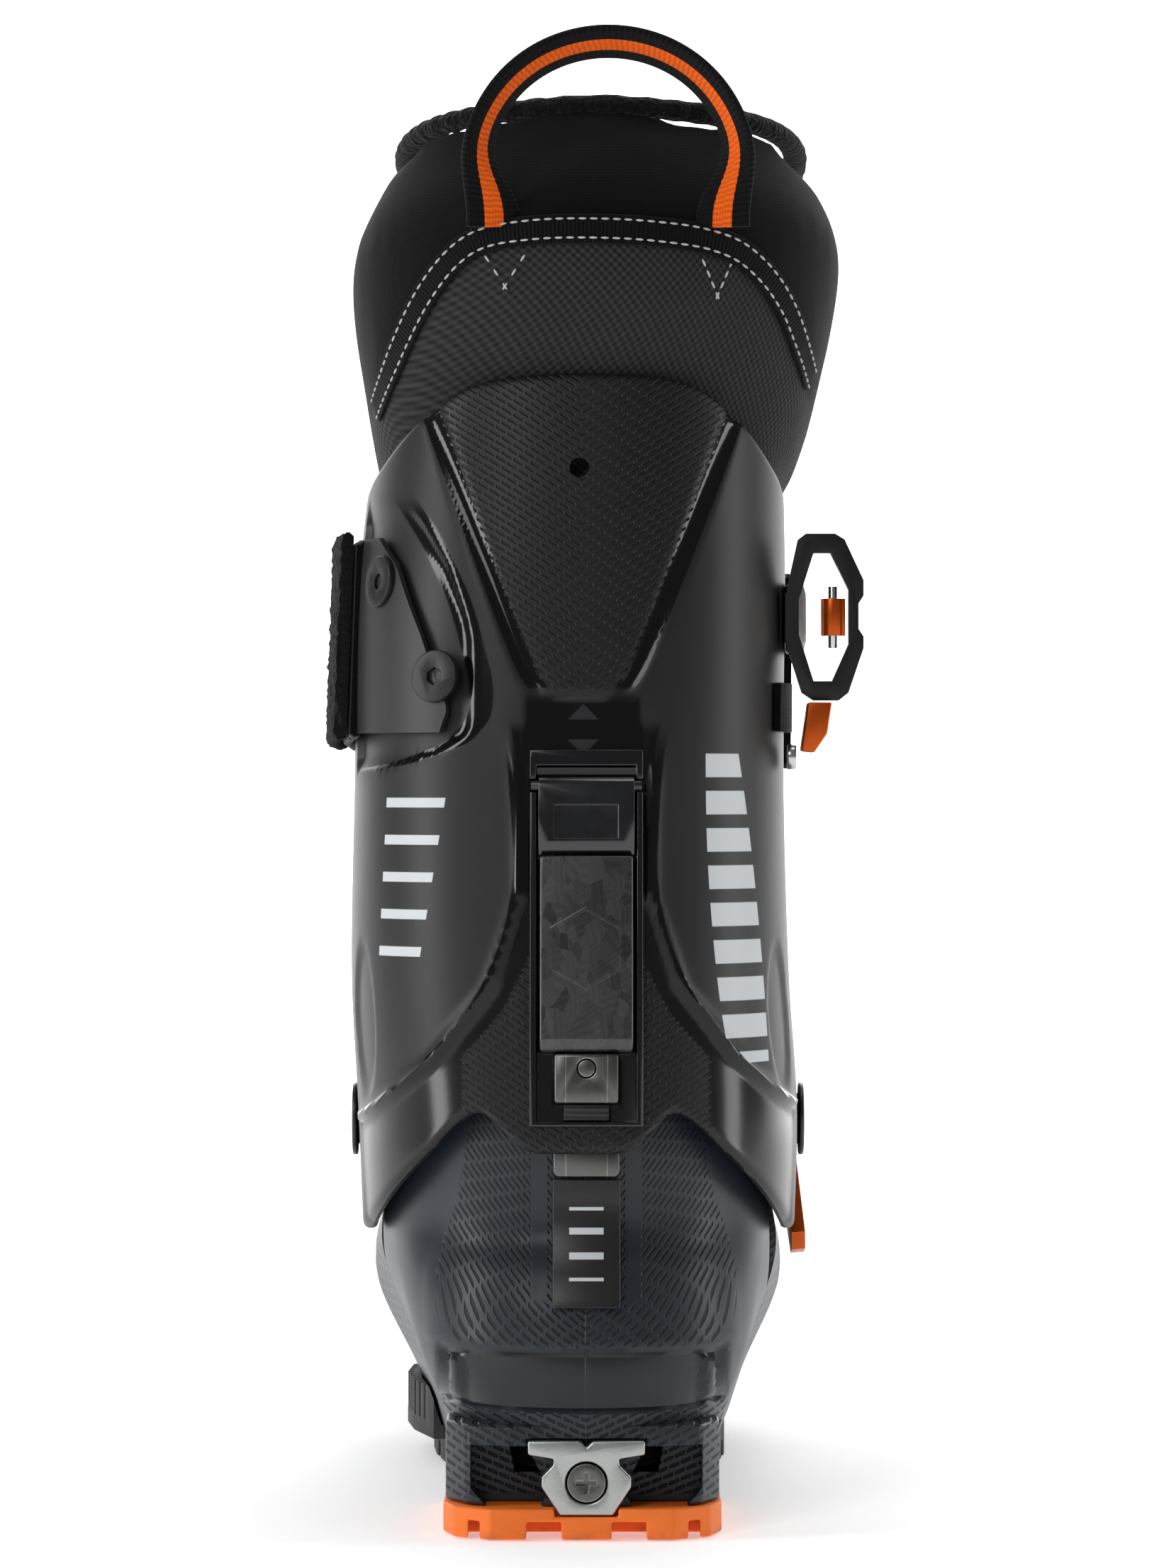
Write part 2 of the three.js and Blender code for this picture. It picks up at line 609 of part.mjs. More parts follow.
function lockTongue() {
  const side = [[2.8, 4], [0.4, 4]];
  for (let i = 0; i < 3; i += 1) {
    side.push([-0.4, 4.3 + i * 1.3]);
    side.push([0.2, 5 + i * 1.3]);
  }
  return plateX([...side, [0.2, 8], [2.8, 8]], -5.7, 5.7);
}

function strapBolt(angle, z) {
  const disc = new THREE.CylinderGeometry(strapBoltRadius, strapBoltRadius, 2, 28).translate(0, -1.4, 0);
  const socket = new THREE.CylinderGeometry(2.2, 2.2, 3, 6).translate(0, -2.6, 0);
  return seat(cut(disc, socket), ovalPoint(angle, z, 0), ovalNormal(angle, z));
}

const strapDrop = (angle) => -8 * Math.sin(THREE.MathUtils.degToRad(Math.min(Math.abs(angle + 60) * 0.6, 90)));

function strap(from, to, steps, lift, thick, width) {
  const low = (angle) => strapLow + strapDrop(angle);
  const heights = (angle) => evenly(low(angle), low(angle) + width, 2);
  return wall(from, to, steps, heights, () => -lift, () => thick - lift);
}

// Webbing that stands up as an arch: its width lies front to back at the top and turns to the rear at the feet.
function pullLoop() {
  const sections = [];
  for (let i = 0; i <= 24; i += 1) {
    const turn = Math.PI * (i / 24);
    const out = new THREE.Vector3(Math.cos(turn), 0, Math.sin(turn) ** 0.8 * 0.9).normalize();
    const foot = Math.exp(-((Math.sin(turn) / 0.22) ** 2));
    const lean = THREE.MathUtils.degToRad(30 + 48 * foot);
    const across = new THREE.Vector3(0, Math.cos(lean), 0).addScaledVector(out, -Math.sin(lean));
    const outward = new THREE.Vector3().crossVectors(across, new THREE.Vector3(-Math.sin(turn), 0, Math.cos(turn)))
      .normalize();
    const middle = new THREE.Vector3(loopCentre + (loopHalf - 6 * foot) * Math.cos(turn), loopRear + 5 * foot,
      loopFoot + loopRise * Math.sin(turn) ** 0.75);
    const corner = (a, b) => middle.clone().addScaledVector(across, a * loopWidth / 2)
      .addScaledVector(outward, b * loopThick / 2);
    sections.push([corner(1, 1), corner(1, -1), corner(-1, -1), corner(-1, 1)]);
  }
  return loft(sections);
}

// ---- liner round the leg ----
function collarSwell(angle, z) {
  const above = (z - cuffRim(angle)) / 34;
  return collarFlare * THREE.MathUtils.smoothstep(above, 0, 1);
}

const linerHem = through([0, 152], [60, 154], [120, 164], [180, 170]);
const linerRim = through([0, collarTop], [60, 358], [110, 350], [180, 338]);
const linerOuter = (angle, z) => cuffWall + linerGap - collarSwell(angle, z)
  + 9 * THREE.MathUtils.smoothstep(z, linerRim(angle) - 22, linerRim(angle));
const linerInner = (angle, z) => cuffWall + linerGap + linerLegWall - collarSwell(angle, z) * 0.55;

function linerHeights(angle, extra) {
  const rim = cuffRim(angle);
  const top = linerRim(angle) + extra;
  return [...evenly(linerHem(angle), rim, 3), rim + 11, rim + 23, (rim + 30 + top - 12) / 2, top - 12, top - 3, top];
}

function legLiner() {
  return wall(-150, 150, 30, (a) => linerHeights(Math.abs(a), 0), (a, z) => linerOuter(Math.abs(a), z),
    (a, z) => linerInner(Math.abs(a), z));
}

function tongue() {
  const fold = (angle) => (angle > 180 ? 360 - angle : angle);
  return wall(153.8, 206.2, 8, (a) => linerHeights(fold(a), 10), (a, z) => linerOuter(fold(a), z) + 0.4,
    (a, z) => linerInner(fold(a), z) - 1);
}

// ---- strap buckle on the outer side ----
function buckleHandle() {
  const outer = [[-12.3, 5], [-12.3, -6], [-8, -19.5], [-5, -21.5], [1.5, -21.5], [4, -19.5], [7.9, -8],
    [7.9, -5], [6.6, -3], [6.6, 3.5], [7.9, 5.5], [7.9, 9.5], [3, 20], [0.5, 21.5], [-7, 21.5], [-9, 20]];
  const inner = [[-8.8, 4.5], [-8.8, -4.5], [-5, -16.5], [-0.2, -16.5], [4, -7], [4, 7], [-0.6, 16.5], [-5, 16.5]];
  return cut(plateY(outer, -2.8, 2.8), plateY(inner, -6, 6), cylinderZ(1.5, -30, 30, 0, 0, 10));
}

function buckleCam() {
  return cut(join(cylinderZ(3.1, -4.8, 4.8, 0, 0, 18), box(-2.6, 3.2, -2, 2, -4.8, 4.8)),
    cylinderZ(1.5, -9, 9, 0, 0, 12));
}

function bucklePlate() {
  return plateY([[-11.6, -9], [-7.6, -10], [-6.4, -6], [-6.4, 6], [-7.6, 10], [-11.6, 9]], 4.5, 22);
}

function buckleLink() {
  const side = [[-0.4, -22], [-1.6, -30], [-5, -35], [-8.4, -34.6], [-7.4, -28], [-6.6, -22]];
  return plateY(side, -7, 5);
}

function buckleBolt() {
  const face = cuffCentre(195) + cuffHalf(195) - bucklePin.x;
  return cut(cylinderX(3.3, face + clearance, face + 2.6, -1, 195 - bucklePin.z, 20),
    cylinderX(1.5, face + 1.6, face + 4, -1, 195 - bucklePin.z, 6));
}

function buckleWebbing() {
  return wall(66, 96, 6, () => [201.5, 208, 214], () => -0.4, () => -2.2);
}

function buildPieces() {
  add('lower_shell', lowerShell(), shellPlastic);
  add('heel_outsole', heelOutsole(), orangeRubber);
  add('forefoot_outsole', forefootOutsole(), blackRubber);
  add('heel_tech_fitting', heelFitting(), castSteel);
  add('heel_fitting_screw', heelScrew(), polishedSteel);
  add('heel_inlay', heelInlay(), mattBlack);
  add('shell_catch', shellCatch(), darkSteel);
  add('instep_flap', instepFlap(), mattBlack);
  add('instep_ladder', instepLadder(), darkSteel);
  add('liner_foot', footLiner(), linerCloth);
  add('footbed', footbed(), mattBlack);
  for (const [name, side] of [['medial', -1], ['lateral', 1]]) {
    add(`pivot_washer_${name}`, pivotWasher(side), mattBlack);
    add(`pivot_bolt_${name}`, pivotBolt(side), darkSteel);
    add(`toe_insert_${name}`, toeInsert(side), castSteel);
  }
  const buckle = instepFrame();
  add('instep_base', instepBase(), darkSteel, buckle);
  add('instep_lever', instepLever(), orangeAlloy, buckle);
  add('instep_lever_pin', instepPin(), polishedSteel, buckle);
  add('instep_bail', instepBail(), polishedSteel, buckle);
  add('cuff_shell', cuffShell(), cuffPlastic);
  add('lever_housing', leverHousing(), glossBlack, spine);
  add('lever_axle', cylinderX(1.4, -channelHalf + 0.2, channelHalf - 0.2, 0.4, leverHinge, 14), polishedSteel, spine);
  add('lever_cap', leverCap(), glossBlack, spine);
  add('lever_body', leverBody(), forgedCarbon, spine);
  add('lock_bar', lockBar(), castSteel, spine);
  add('lock_screw', cylinderY(2.1, -1.2, 0.8, 0, 17, 16), polishedSteel, spine);
  add('lock_tongue', lockTongue(), mattBlack, spine);
  add('strap_bolt_upper', strapBolt(-54.4, 239.5), darkSteel);
  add('strap_bolt_lower', strapBolt(-30.3, 215), darkSteel);
  add('power_strap', strap(-70, -263, 34, 3.2, strapThick, strapWidth), webbing);
  add('strap_end', strap(-72, -100, 6, 7.2, 3.4, strapWidth + 2), webbing);
  add('liner_cuff', legLiner(), linerCloth);
  add('liner_tongue', tongue(), linerCloth);
  add('pull_loop', pullLoop(), webbing);
  const strapBuckle = new THREE.Group();
  strapBuckle.position.copy(bucklePin);
  group.add(strapBuckle);
  add('buckle_handle', buckleHandle(), mattBlack, strapBuckle);
  add('buckle_cam', buckleCam(), orangeAlloy, strapBuckle);
  add('buckle_pin', cylinderZ(1.2, -8, 8, 0, 0, 12), polishedSteel, strapBuckle);
  add('buckle_plate', bucklePlate(), polishedSteel, strapBuckle);
  add('buckle_link', buckleLink(), orangeAlloy, strapBuckle);
  add('buckle_bolt', buckleBolt(), polishedSteel, strapBuckle);
  add('buckle_webbing', buckleWebbing(), webbing);
}

buildPieces();

export default group;
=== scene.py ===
import json
import math

import bmesh
import bpy
import numpy as np
from bpy.props import FloatProperty, FloatVectorProperty, IntProperty, PointerProperty
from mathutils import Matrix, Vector
from mathutils.bvhtree import BVHTree


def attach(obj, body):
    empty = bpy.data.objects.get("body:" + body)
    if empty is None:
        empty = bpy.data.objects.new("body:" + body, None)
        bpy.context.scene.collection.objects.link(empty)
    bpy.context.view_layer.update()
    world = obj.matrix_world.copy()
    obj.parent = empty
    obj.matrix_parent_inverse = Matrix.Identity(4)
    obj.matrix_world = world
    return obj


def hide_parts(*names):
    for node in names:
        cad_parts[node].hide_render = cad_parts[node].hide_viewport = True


bl_info = {
    "name": "Touring ski boot",
    "version": (1, 0, 0),
    "blender": (4, 5, 0),
    "location": "View3D > Sidebar > Ski Boot",
    "description": "Builds the shell, cuff, liner and hardware of a touring ski boot round its moving frame",
    "category": "Object",
}

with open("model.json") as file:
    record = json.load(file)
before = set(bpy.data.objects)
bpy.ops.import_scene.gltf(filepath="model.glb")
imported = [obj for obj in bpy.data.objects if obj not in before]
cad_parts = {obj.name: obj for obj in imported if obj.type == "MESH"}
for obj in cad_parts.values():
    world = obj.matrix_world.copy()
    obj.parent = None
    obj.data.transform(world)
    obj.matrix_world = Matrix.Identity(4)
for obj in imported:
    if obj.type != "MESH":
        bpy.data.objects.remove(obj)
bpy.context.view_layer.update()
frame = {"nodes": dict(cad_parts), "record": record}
NODES = frame["nodes"]
RECORD = frame["record"]
BODY_OF = {node: body for body, nodes in RECORD["behaviour"]["bodies"].items() for node in nodes}


# ---------------------------------------------------------------- settings

def tint(name, about, red, green, blue):
    """A colour setting given as screen values from 0 to 255."""
    default = tuple((channel / 255) ** 2.2 for channel in (red, green, blue))
    return FloatVectorProperty(name=name, description=about, default=default, size=3, min=0, max=1, subtype="COLOR")


class BootSizes(bpy.types.PropertyGroup):
    """Sizes of the made details."""
    edge: FloatProperty(name="Edge rounding", description="Rounding of moulded and machined edges", default=0.00035,
                        unit="LENGTH")
    weave: FloatProperty(name="Weave pitch", description="Distance between rows of the moulded dashes",
                         default=0.0019, unit="LENGTH")
    groove: FloatProperty(name="Groove depth", description="Depth of the grooves in the cuff", default=0.0013,
                          unit="LENGTH")
    stitch: FloatProperty(name="Stitch length", description="Length of one stitch", default=0.0021, unit="LENGTH")
    stitch_pitch: FloatProperty(name="Stitch pitch", description="Distance from stitch to stitch", default=0.0029,
                                unit="LENGTH")
    tape: FloatProperty(name="Tape width", description="Width of the liner's binding tape", default=0.0078,
                        unit="LENGTH")
    swell: FloatProperty(name="Collar swell", description="How far the collar's foam may swell", default=0.003,
                         unit="LENGTH")
    rounds: IntProperty(name="Steps round", description="Points round the shell and the cuff", default=260, min=80)


class BootColours(bpy.types.PropertyGroup):
    """Colours of the materials."""
    shell: tint("Shell", "Lower shell plastic", 42, 47, 54)
    cuff: tint("Cuff", "Cuff plastic", 38, 38, 39)
    gloss: tint("Gloss", "Glossy black parts", 11, 12, 15)
    orange: tint("Orange", "Rubber sole", 252, 122, 40)
    anodised: tint("Anodised", "Orange buckle metal", 205, 88, 26)
    steel: tint("Steel", "Bright cast steel", 196, 199, 197)
    cloth: tint("Cloth", "Liner cloth", 15, 16, 18)
    stripe: tint("Stripe", "Stripe in the loop's webbing", 250, 104, 28)
    thread: tint("Thread", "Stitching thread", 206, 204, 198)
    print_grey: tint("Print", "Pale printed marks", 201, 206, 209)


# ---------------------------------------------------------------- curves and sections, in millimetres

def through(*knots):
    """A smooth curve through (place, value) knots, constant past both ends."""
    place = np.array([knot[0] for knot in knots], float)
    value = np.array([knot[1] for knot in knots], float)
    last = len(knots) - 1
    before = np.maximum(np.arange(last + 1) - 1, 0)
    after = np.minimum(np.arange(last + 1) + 1, last)
    slope = (value[after] - value[before]) / (place[after] - place[before])

    def at(p):
        p = np.clip(np.asarray(p, float), place[0], place[-1])
        i = np.clip(np.searchsorted(place, p, side="right") - 1, 0, last - 1)
        span = place[i + 1] - place[i]
        t = (p - place[i]) / span
        rise = value[i + 1] - value[i]
        return value[i] + rise * t * t * (3 - 2 * t) + span * t * (1 - t) * (slope[i] * (1 - t) - slope[i + 1] * t)
    return at


def ease(x, low, high):
    t = np.clip((np.asarray(x, float) - low) / (high - low), 0, 1)
    return t * t * (3 - 2 * t)


def signed_power(base, exponent):
    return np.sign(base) * np.abs(base) ** exponent


shell_rear = through([8, -36], [24, -37.5], [42, -39], [57, -37], [66, -33], [74, -27.2], [84, -26.8], [100, -28.5],
                     [120, -26], [136, -20])
shell_front = through([12, 250], [24, 263], [40, 266], [54, 260], [62, 247], [72, 222], [84, 190], [98, 160],
                      [112, 137], [125, 119], [136, 106], [150, 92])
heel_half = through([8, 31], [24, 34], [44, 41.5], [64, 44], [80, 44], [100, 44], [136, 43])
waist_half = through([12, 33], [24, 36], [44, 44], [64, 51], [80, 51], [100, 50.5], [136, 46])
ball_half = through([12, 42], [24, 46], [46, 56], [58, 57], [70, 54], [84, 47.5], [100, 42])
cuff_rear = through([95, -36.3], [140, -32.25], [170, -29.55], [200, -26.8], [250, -19.5], [292, -10.5], [365, 5])
cuff_front = through([72, 138], [100, 136], [150, 118], [200, 108], [240, 111], [292, 118], [365, 128])
cuff_half = through([72, 56.5], [104, 57.5], [138, 57.2], [189, 56], [240, 55.8], [264, 54.6], [292, 53])
cuff_centre = through([72, -2], [104, -2.3], [138, -4.2], [189, -4.5], [240, -3.8], [292, -1], [330, 2.5])
cuff_rim = through([0, 292.6], [25, 290], [45, 281.5], [65, 271], [90, 262], [120, 250], [160, 240])
cuff_hem = through([0, 95.6], [8, 96.2], [13, 100.5], [19, 105.5], [25, 103.5], [36, 95.5], [50, 87], [65, 79],
                   [78, 73.5], [90, 71.5], [96, 75], [102, 92], [108, 112], [118, 133], [134, 153], [156, 162])
liner_hem = through([0, 152], [60, 154], [120, 164], [180, 170])
liner_rim = through([0, 363], [60, 358], [110, 350], [180, 338])


def shell_half(y, z):
    """Half width of the lower shell at a place along the boot."""
    heel, waist, ball = heel_half(z), waist_half(z), ball_half(z)
    y = np.clip(y, -10, 165)
    slope0 = (waist - heel) / 58
    slope1 = (ball - heel) / 175
    slope2 = (ball - waist) / 117
    first = y < 48
    t = np.where(first, (y + 10) / 58, (y - 48) / 117)
    start = np.where(first, heel, waist)
    rise = np.where(first, waist - heel, ball - waist)
    span = np.where(first, 58, 117)
    s0 = np.where(first, slope0, slope1)
    s1 = np.where(first, slope1, slope2)
    return start + rise * t * t * (3 - 2 * t) + span * t * (1 - t) * (s0 * (1 - t) - s1 * t)


def shell_centre(y, z):
    lean = through([48, 0], [165, -2])(y)
    return through([20, 0], [100, -3])(z) + lean * np.where(z < 100, 1 - z / 130, 0.2)


def shell_ring(z, inset, steps):
    """A ring of the lower shell at one height, from the heel round to the outer side."""
    rear = shell_rear(z) + inset
    front = shell_front(z + inset) - 0.4 * inset
    start = max(front - 66, rear + 56)
    turn = np.linspace(0, math.pi / 2, steps)
    heel_y = rear + 46 * (1 - np.cos(turn) ** 0.9)
    heel_share = np.sin(turn) ** 0.9
    mid_y = np.linspace(rear + 46, start, steps + 2)[1:-1]
    toe_y = front - (front - start) * (1 - np.cos(turn[::-1]) ** 0.85)
    toe_share = np.sin(turn[::-1]) ** 0.85
    y = np.concatenate([heel_y, mid_y, toe_y])
    share = np.concatenate([heel_share, np.ones(steps), toe_share])
    reach = (shell_half(y, z) - inset) * share
    centre = shell_centre(y, z)
    outer = np.stack([centre + reach, y, np.full_like(y, z)], 1)
    inner = np.stack([centre - reach, y, np.full_like(y, z)], 1)
    return np.concatenate([outer, inner[-2:0:-1]])


def oval(angle, z, inset):
    """A point of the cuff's surface; the angle is 0 at the heel and grows towards the outer side."""
    a = np.radians(angle)
    rear = cuff_rear(z) + inset
    front = cuff_front(z) - inset
    x = cuff_centre(z) + (cuff_half(z) - inset) * signed_power(np.sin(a), 2 / 2.6)
    y = (rear + front) / 2 - (front - rear) / 2 * signed_power(np.cos(a), 2 / 2.6)
    return np.stack([x, y, z + 0 * x], -1)


def oval_normal(angle, z):
    along = oval(angle + 0.5, z, 0) - oval(angle - 0.5, z, 0)
    up = oval(angle, z + 0.5, 0) - oval(angle, z - 0.5, 0)
    normal = np.cross(along, up)
    return normal / np.linalg.norm(normal, axis=-1, keepdims=True)


# ---------------------------------------------------------------- mesh helpers

def link(name, mesh, look=None):
    made = bpy.data.objects.new(name, mesh)
    bpy.context.scene.collection.objects.link(made)
    if look:
        mesh.materials.clear()
        mesh.materials.append(look)
    return made


def mesh_from(name, points, faces, look=None, smooth=True):
    """An object from points in millimetres."""
    mesh = bpy.data.meshes.new(name)
    mesh.from_pydata((np.asarray(points, float) / 1000).tolist(), [], faces)
    mesh.validate()
    mesh.polygons.foreach_set("use_smooth", [smooth] * len(mesh.polygons))
    mesh.update()
    return link(name, mesh, look)


def outward(made):
    """Turns every face of a closed mesh outwards."""
    work = bmesh.new()
    work.from_mesh(made.data)
    bmesh.ops.recalc_face_normals(work, faces=work.faces)
    if work.calc_volume(signed=True) < 0:
        bmesh.ops.reverse_faces(work, faces=work.faces)
    work.to_mesh(made.data)
    work.free()
    return made


def rings(name, grid, look=None, closed=False):
    """A closed solid through rings of points; closed joins the last ring to the first in place of end caps."""
    grid = np.asarray(grid, float)
    count, around = grid.shape[:2]
    faces = []
    for i in range(count if closed else count - 1):
        a, b = i * around, (i + 1) % count * around
        faces += [(a + j, a + (j + 1) % around, b + (j + 1) % around, b + j) for j in range(around)]
    if not closed:
        faces.append(tuple(range(around))[::-1])
        faces.append(tuple((count - 1) * around + j for j in range(around)))
    return outward(mesh_from(name, grid.reshape(-1, 3), faces, look))


def prism(axis, outline, low, high):
    """A straight solid of an outline, run along axis 0, 1 or 2."""
    rest = [k for k in range(3) if k != axis]
    grid = np.zeros((2, len(outline), 3))
    grid[0, :, axis], grid[1, :, axis] = low, high
    for side in range(2):
        grid[side][:, rest] = outline
    return rings("tool", grid)


def disc(axis, radius, centre, low, high, sides=48):
    turn = np.linspace(0, 2 * math.pi, sides, endpoint=False)
    outline = np.stack([centre[0] + radius * np.cos(turn), centre[1] + radius * np.sin(turn)], 1)
    return prism(axis, outline, low, high)


def block(x0, x1, y0, y1, z0, z1):
    return prism(2, [(x0, y0), (x1, y0), (x1, y1), (x0, y1)], z0, z1)


def bake(made):
    """Applies an object's modifiers and leaves a plain mesh."""
    graph = bpy.context.evaluated_depsgraph_get()
    graph.update()
    mesh = bpy.data.meshes.new_from_object(made.evaluated_get(graph))
    old = made.data
    made.modifiers.clear()
    made.data = mesh
    bpy.data.meshes.remove(old)
    return made


def carve(made, tools, how="DIFFERENCE"):
    for tool in tools:
        step = made.modifiers.new("carve", "BOOLEAN")
        step.operation = how
        step.solver = "MANIFOLD"
        step.object = tool
    bake(made)
    for tool in tools:
        bpy.data.objects.remove(tool)
    return made


def crease(made, degrees=35):
    """Smooth shading with sharp edges where faces meet at more than an angle."""
    made.data.polygons.foreach_set("use_smooth", [True] * len(made.data.polygons))
    made.data.set_sharp_from_angle(angle=math.radians(degrees))
    return made


def copy_of(node, name):
    """A merged copy of a CAD node's mesh."""
    work = bmesh.new()
    work.from_mesh(NODES[node].data)
    bmesh.ops.remove_doubles(work, verts=work.verts, dist=1e-5)
    bmesh.ops.dissolve_limit(work, angle_limit=math.radians(0.6), verts=work.verts, edges=work.edges)
    mesh = bpy.data.meshes.new(name)
    work.to_mesh(mesh)
    work.free()
    return link(name, mesh)


def settle(made, look, nodes, body=None):
    """Gives a finished piece its material and its body, and hides the CAD nodes it stands for."""
    if look:
        made.data.materials.clear()
        made.data.materials.append(look)
        made.data.polygons.foreach_set("material_index", [0] * len(made.data.polygons))
    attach(made, body or BODY_OF[nodes[0]])
    if nodes and body is None:
        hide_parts(*nodes)
    return made


def rounded(node, name, look, width=1.0, segments=3, degrees=32):
    """A CAD node with rounded edges."""
    made = copy_of(node, name)
    step = made.modifiers.new("edges", "BEVEL")
    step.width = sizes().edge * width
    step.segments = segments
    step.limit_method = "ANGLE"
    step.angle_limit = math.radians(degrees)
    step.harden_normals = False
    bake(made)
    crease(made, 30)
    return settle(made, look, [node])


def write_uv(made, u, v, name="strip"):
    """Stores one pair of numbers, in millimetres, for each point as a UV map."""
    layer = made.data.uv_layers.new(name=name)
    index = np.empty(len(made.data.loops), int)
    made.data.loops.foreach_get("vertex_index", index)
    pair = np.stack([np.asarray(u)[index], np.asarray(v)[index]], 1)
    layer.data.foreach_set("uv", pair.ravel())


def sweep(name, points, across, normal, profile, look=None):
    """A strip along points: each profile pair is a step across it and a step off the surface."""
    points, across, normal = (np.asarray(a, float) for a in (points, across, normal))
    profile = np.asarray(profile, float)
    grid = points[:, None] + across[:, None] * profile[None, :, :1] + normal[:, None] * profile[None, :, 1:]
    made = rings(name, grid, look)
    run = np.concatenate([[0], np.cumsum(np.linalg.norm(np.diff(points, axis=0), axis=1))])
    write_uv(made, np.repeat(run, len(profile)), np.tile(profile[:, 0], len(points)))
    return made


def strip_profile(width, thick, steps=10, base=0.0):
    """A flat strip's cross-section with rounded sides."""
    half, radius = width / 2, thick / 2
    turn = np.linspace(-math.pi / 2, math.pi / 2, 6)
    right = np.stack([half - radius + radius * np.cos(turn), base + radius + radius * np.sin(turn)], 1)
    left = np.stack([-half + radius - radius * np.cos(turn), base + radius - radius * np.sin(turn)], 1)
    top_x = np.linspace(half - radius, -half + radius, steps + 2)[1:-1]
    top = np.stack([top_x, np.full(steps, base + thick)], 1)
    return np.concatenate([right, top, left])


def tree_of(made):
    graph = bpy.context.evaluated_depsgraph_get()
    graph.update()
    return BVHTree.FromObject(made, graph)


# ---------------------------------------------------------------- shader helpers

class Wire:
    """A shader value that can be added, multiplied and compared."""

    def __init__(self, look, socket):
        self.look, self.socket = look, socket

    def do(self, how, *others):
        return self.look.math(how, self, *others)

    def __add__(self, other): return self.do("ADD", other)
    __radd__ = __add__
    def __sub__(self, other): return self.do("SUBTRACT", other)
    def __rsub__(self, other): return self.look.math("SUBTRACT", other, self)
    def __mul__(self, other): return self.do("MULTIPLY", other)
    __rmul__ = __mul__
    def __truediv__(self, other): return self.do("DIVIDE", other)
    def __neg__(self): return self * -1
    def __abs__(self): return self.do("ABSOLUTE")
    def __gt__(self, other): return self.do("GREATER_THAN", other)
    def __lt__(self, other): return self.do("LESS_THAN", other)
    def fract(self): return self.do("FRACT")
    def floor(self): return self.do("FLOOR")
    def low(self, other): return self.do("MINIMUM", other)
    def high(self, other): return self.do("MAXIMUM", other)
    def sine(self): return self.do("SINE")

    def step(self, low, high, to_low=0.0, to_high=1.0):
        """A smooth step between two values."""
        made = self.look.node("ShaderNodeMapRange", interpolation_type="SMOOTHSTEP")
        for name, value in (("Value", self), ("From Min", low), ("From Max", high), ("To Min", to_low),
                            ("To Max", to_high)):
            self.look.put(made.inputs[name], value)
        return Wire(self.look, made.outputs[0])

    def curve(self, low, high, points):
        """A drawn curve: points are (input, output) in this value's own units."""
        made = self.look.node("ShaderNodeFloatCurve")
        line = made.mapping.curves[0]
        values = [value for _, value in points]
        bottom, top = min(values), max(values)
        while len(line.points) < len(points):
            line.points.new(0.5, 0.5)
        for knot, (place, value) in zip(line.points, points):
            knot.location = ((place - low) / (high - low), (value - bottom) / (top - bottom))
            knot.handle_type = "AUTO"
        made.mapping.update()
        self.look.put(made.inputs["Value"], (self - low) * (1 / (high - low)))
        return Wire(self.look, made.outputs[0]) * (top - bottom) + bottom


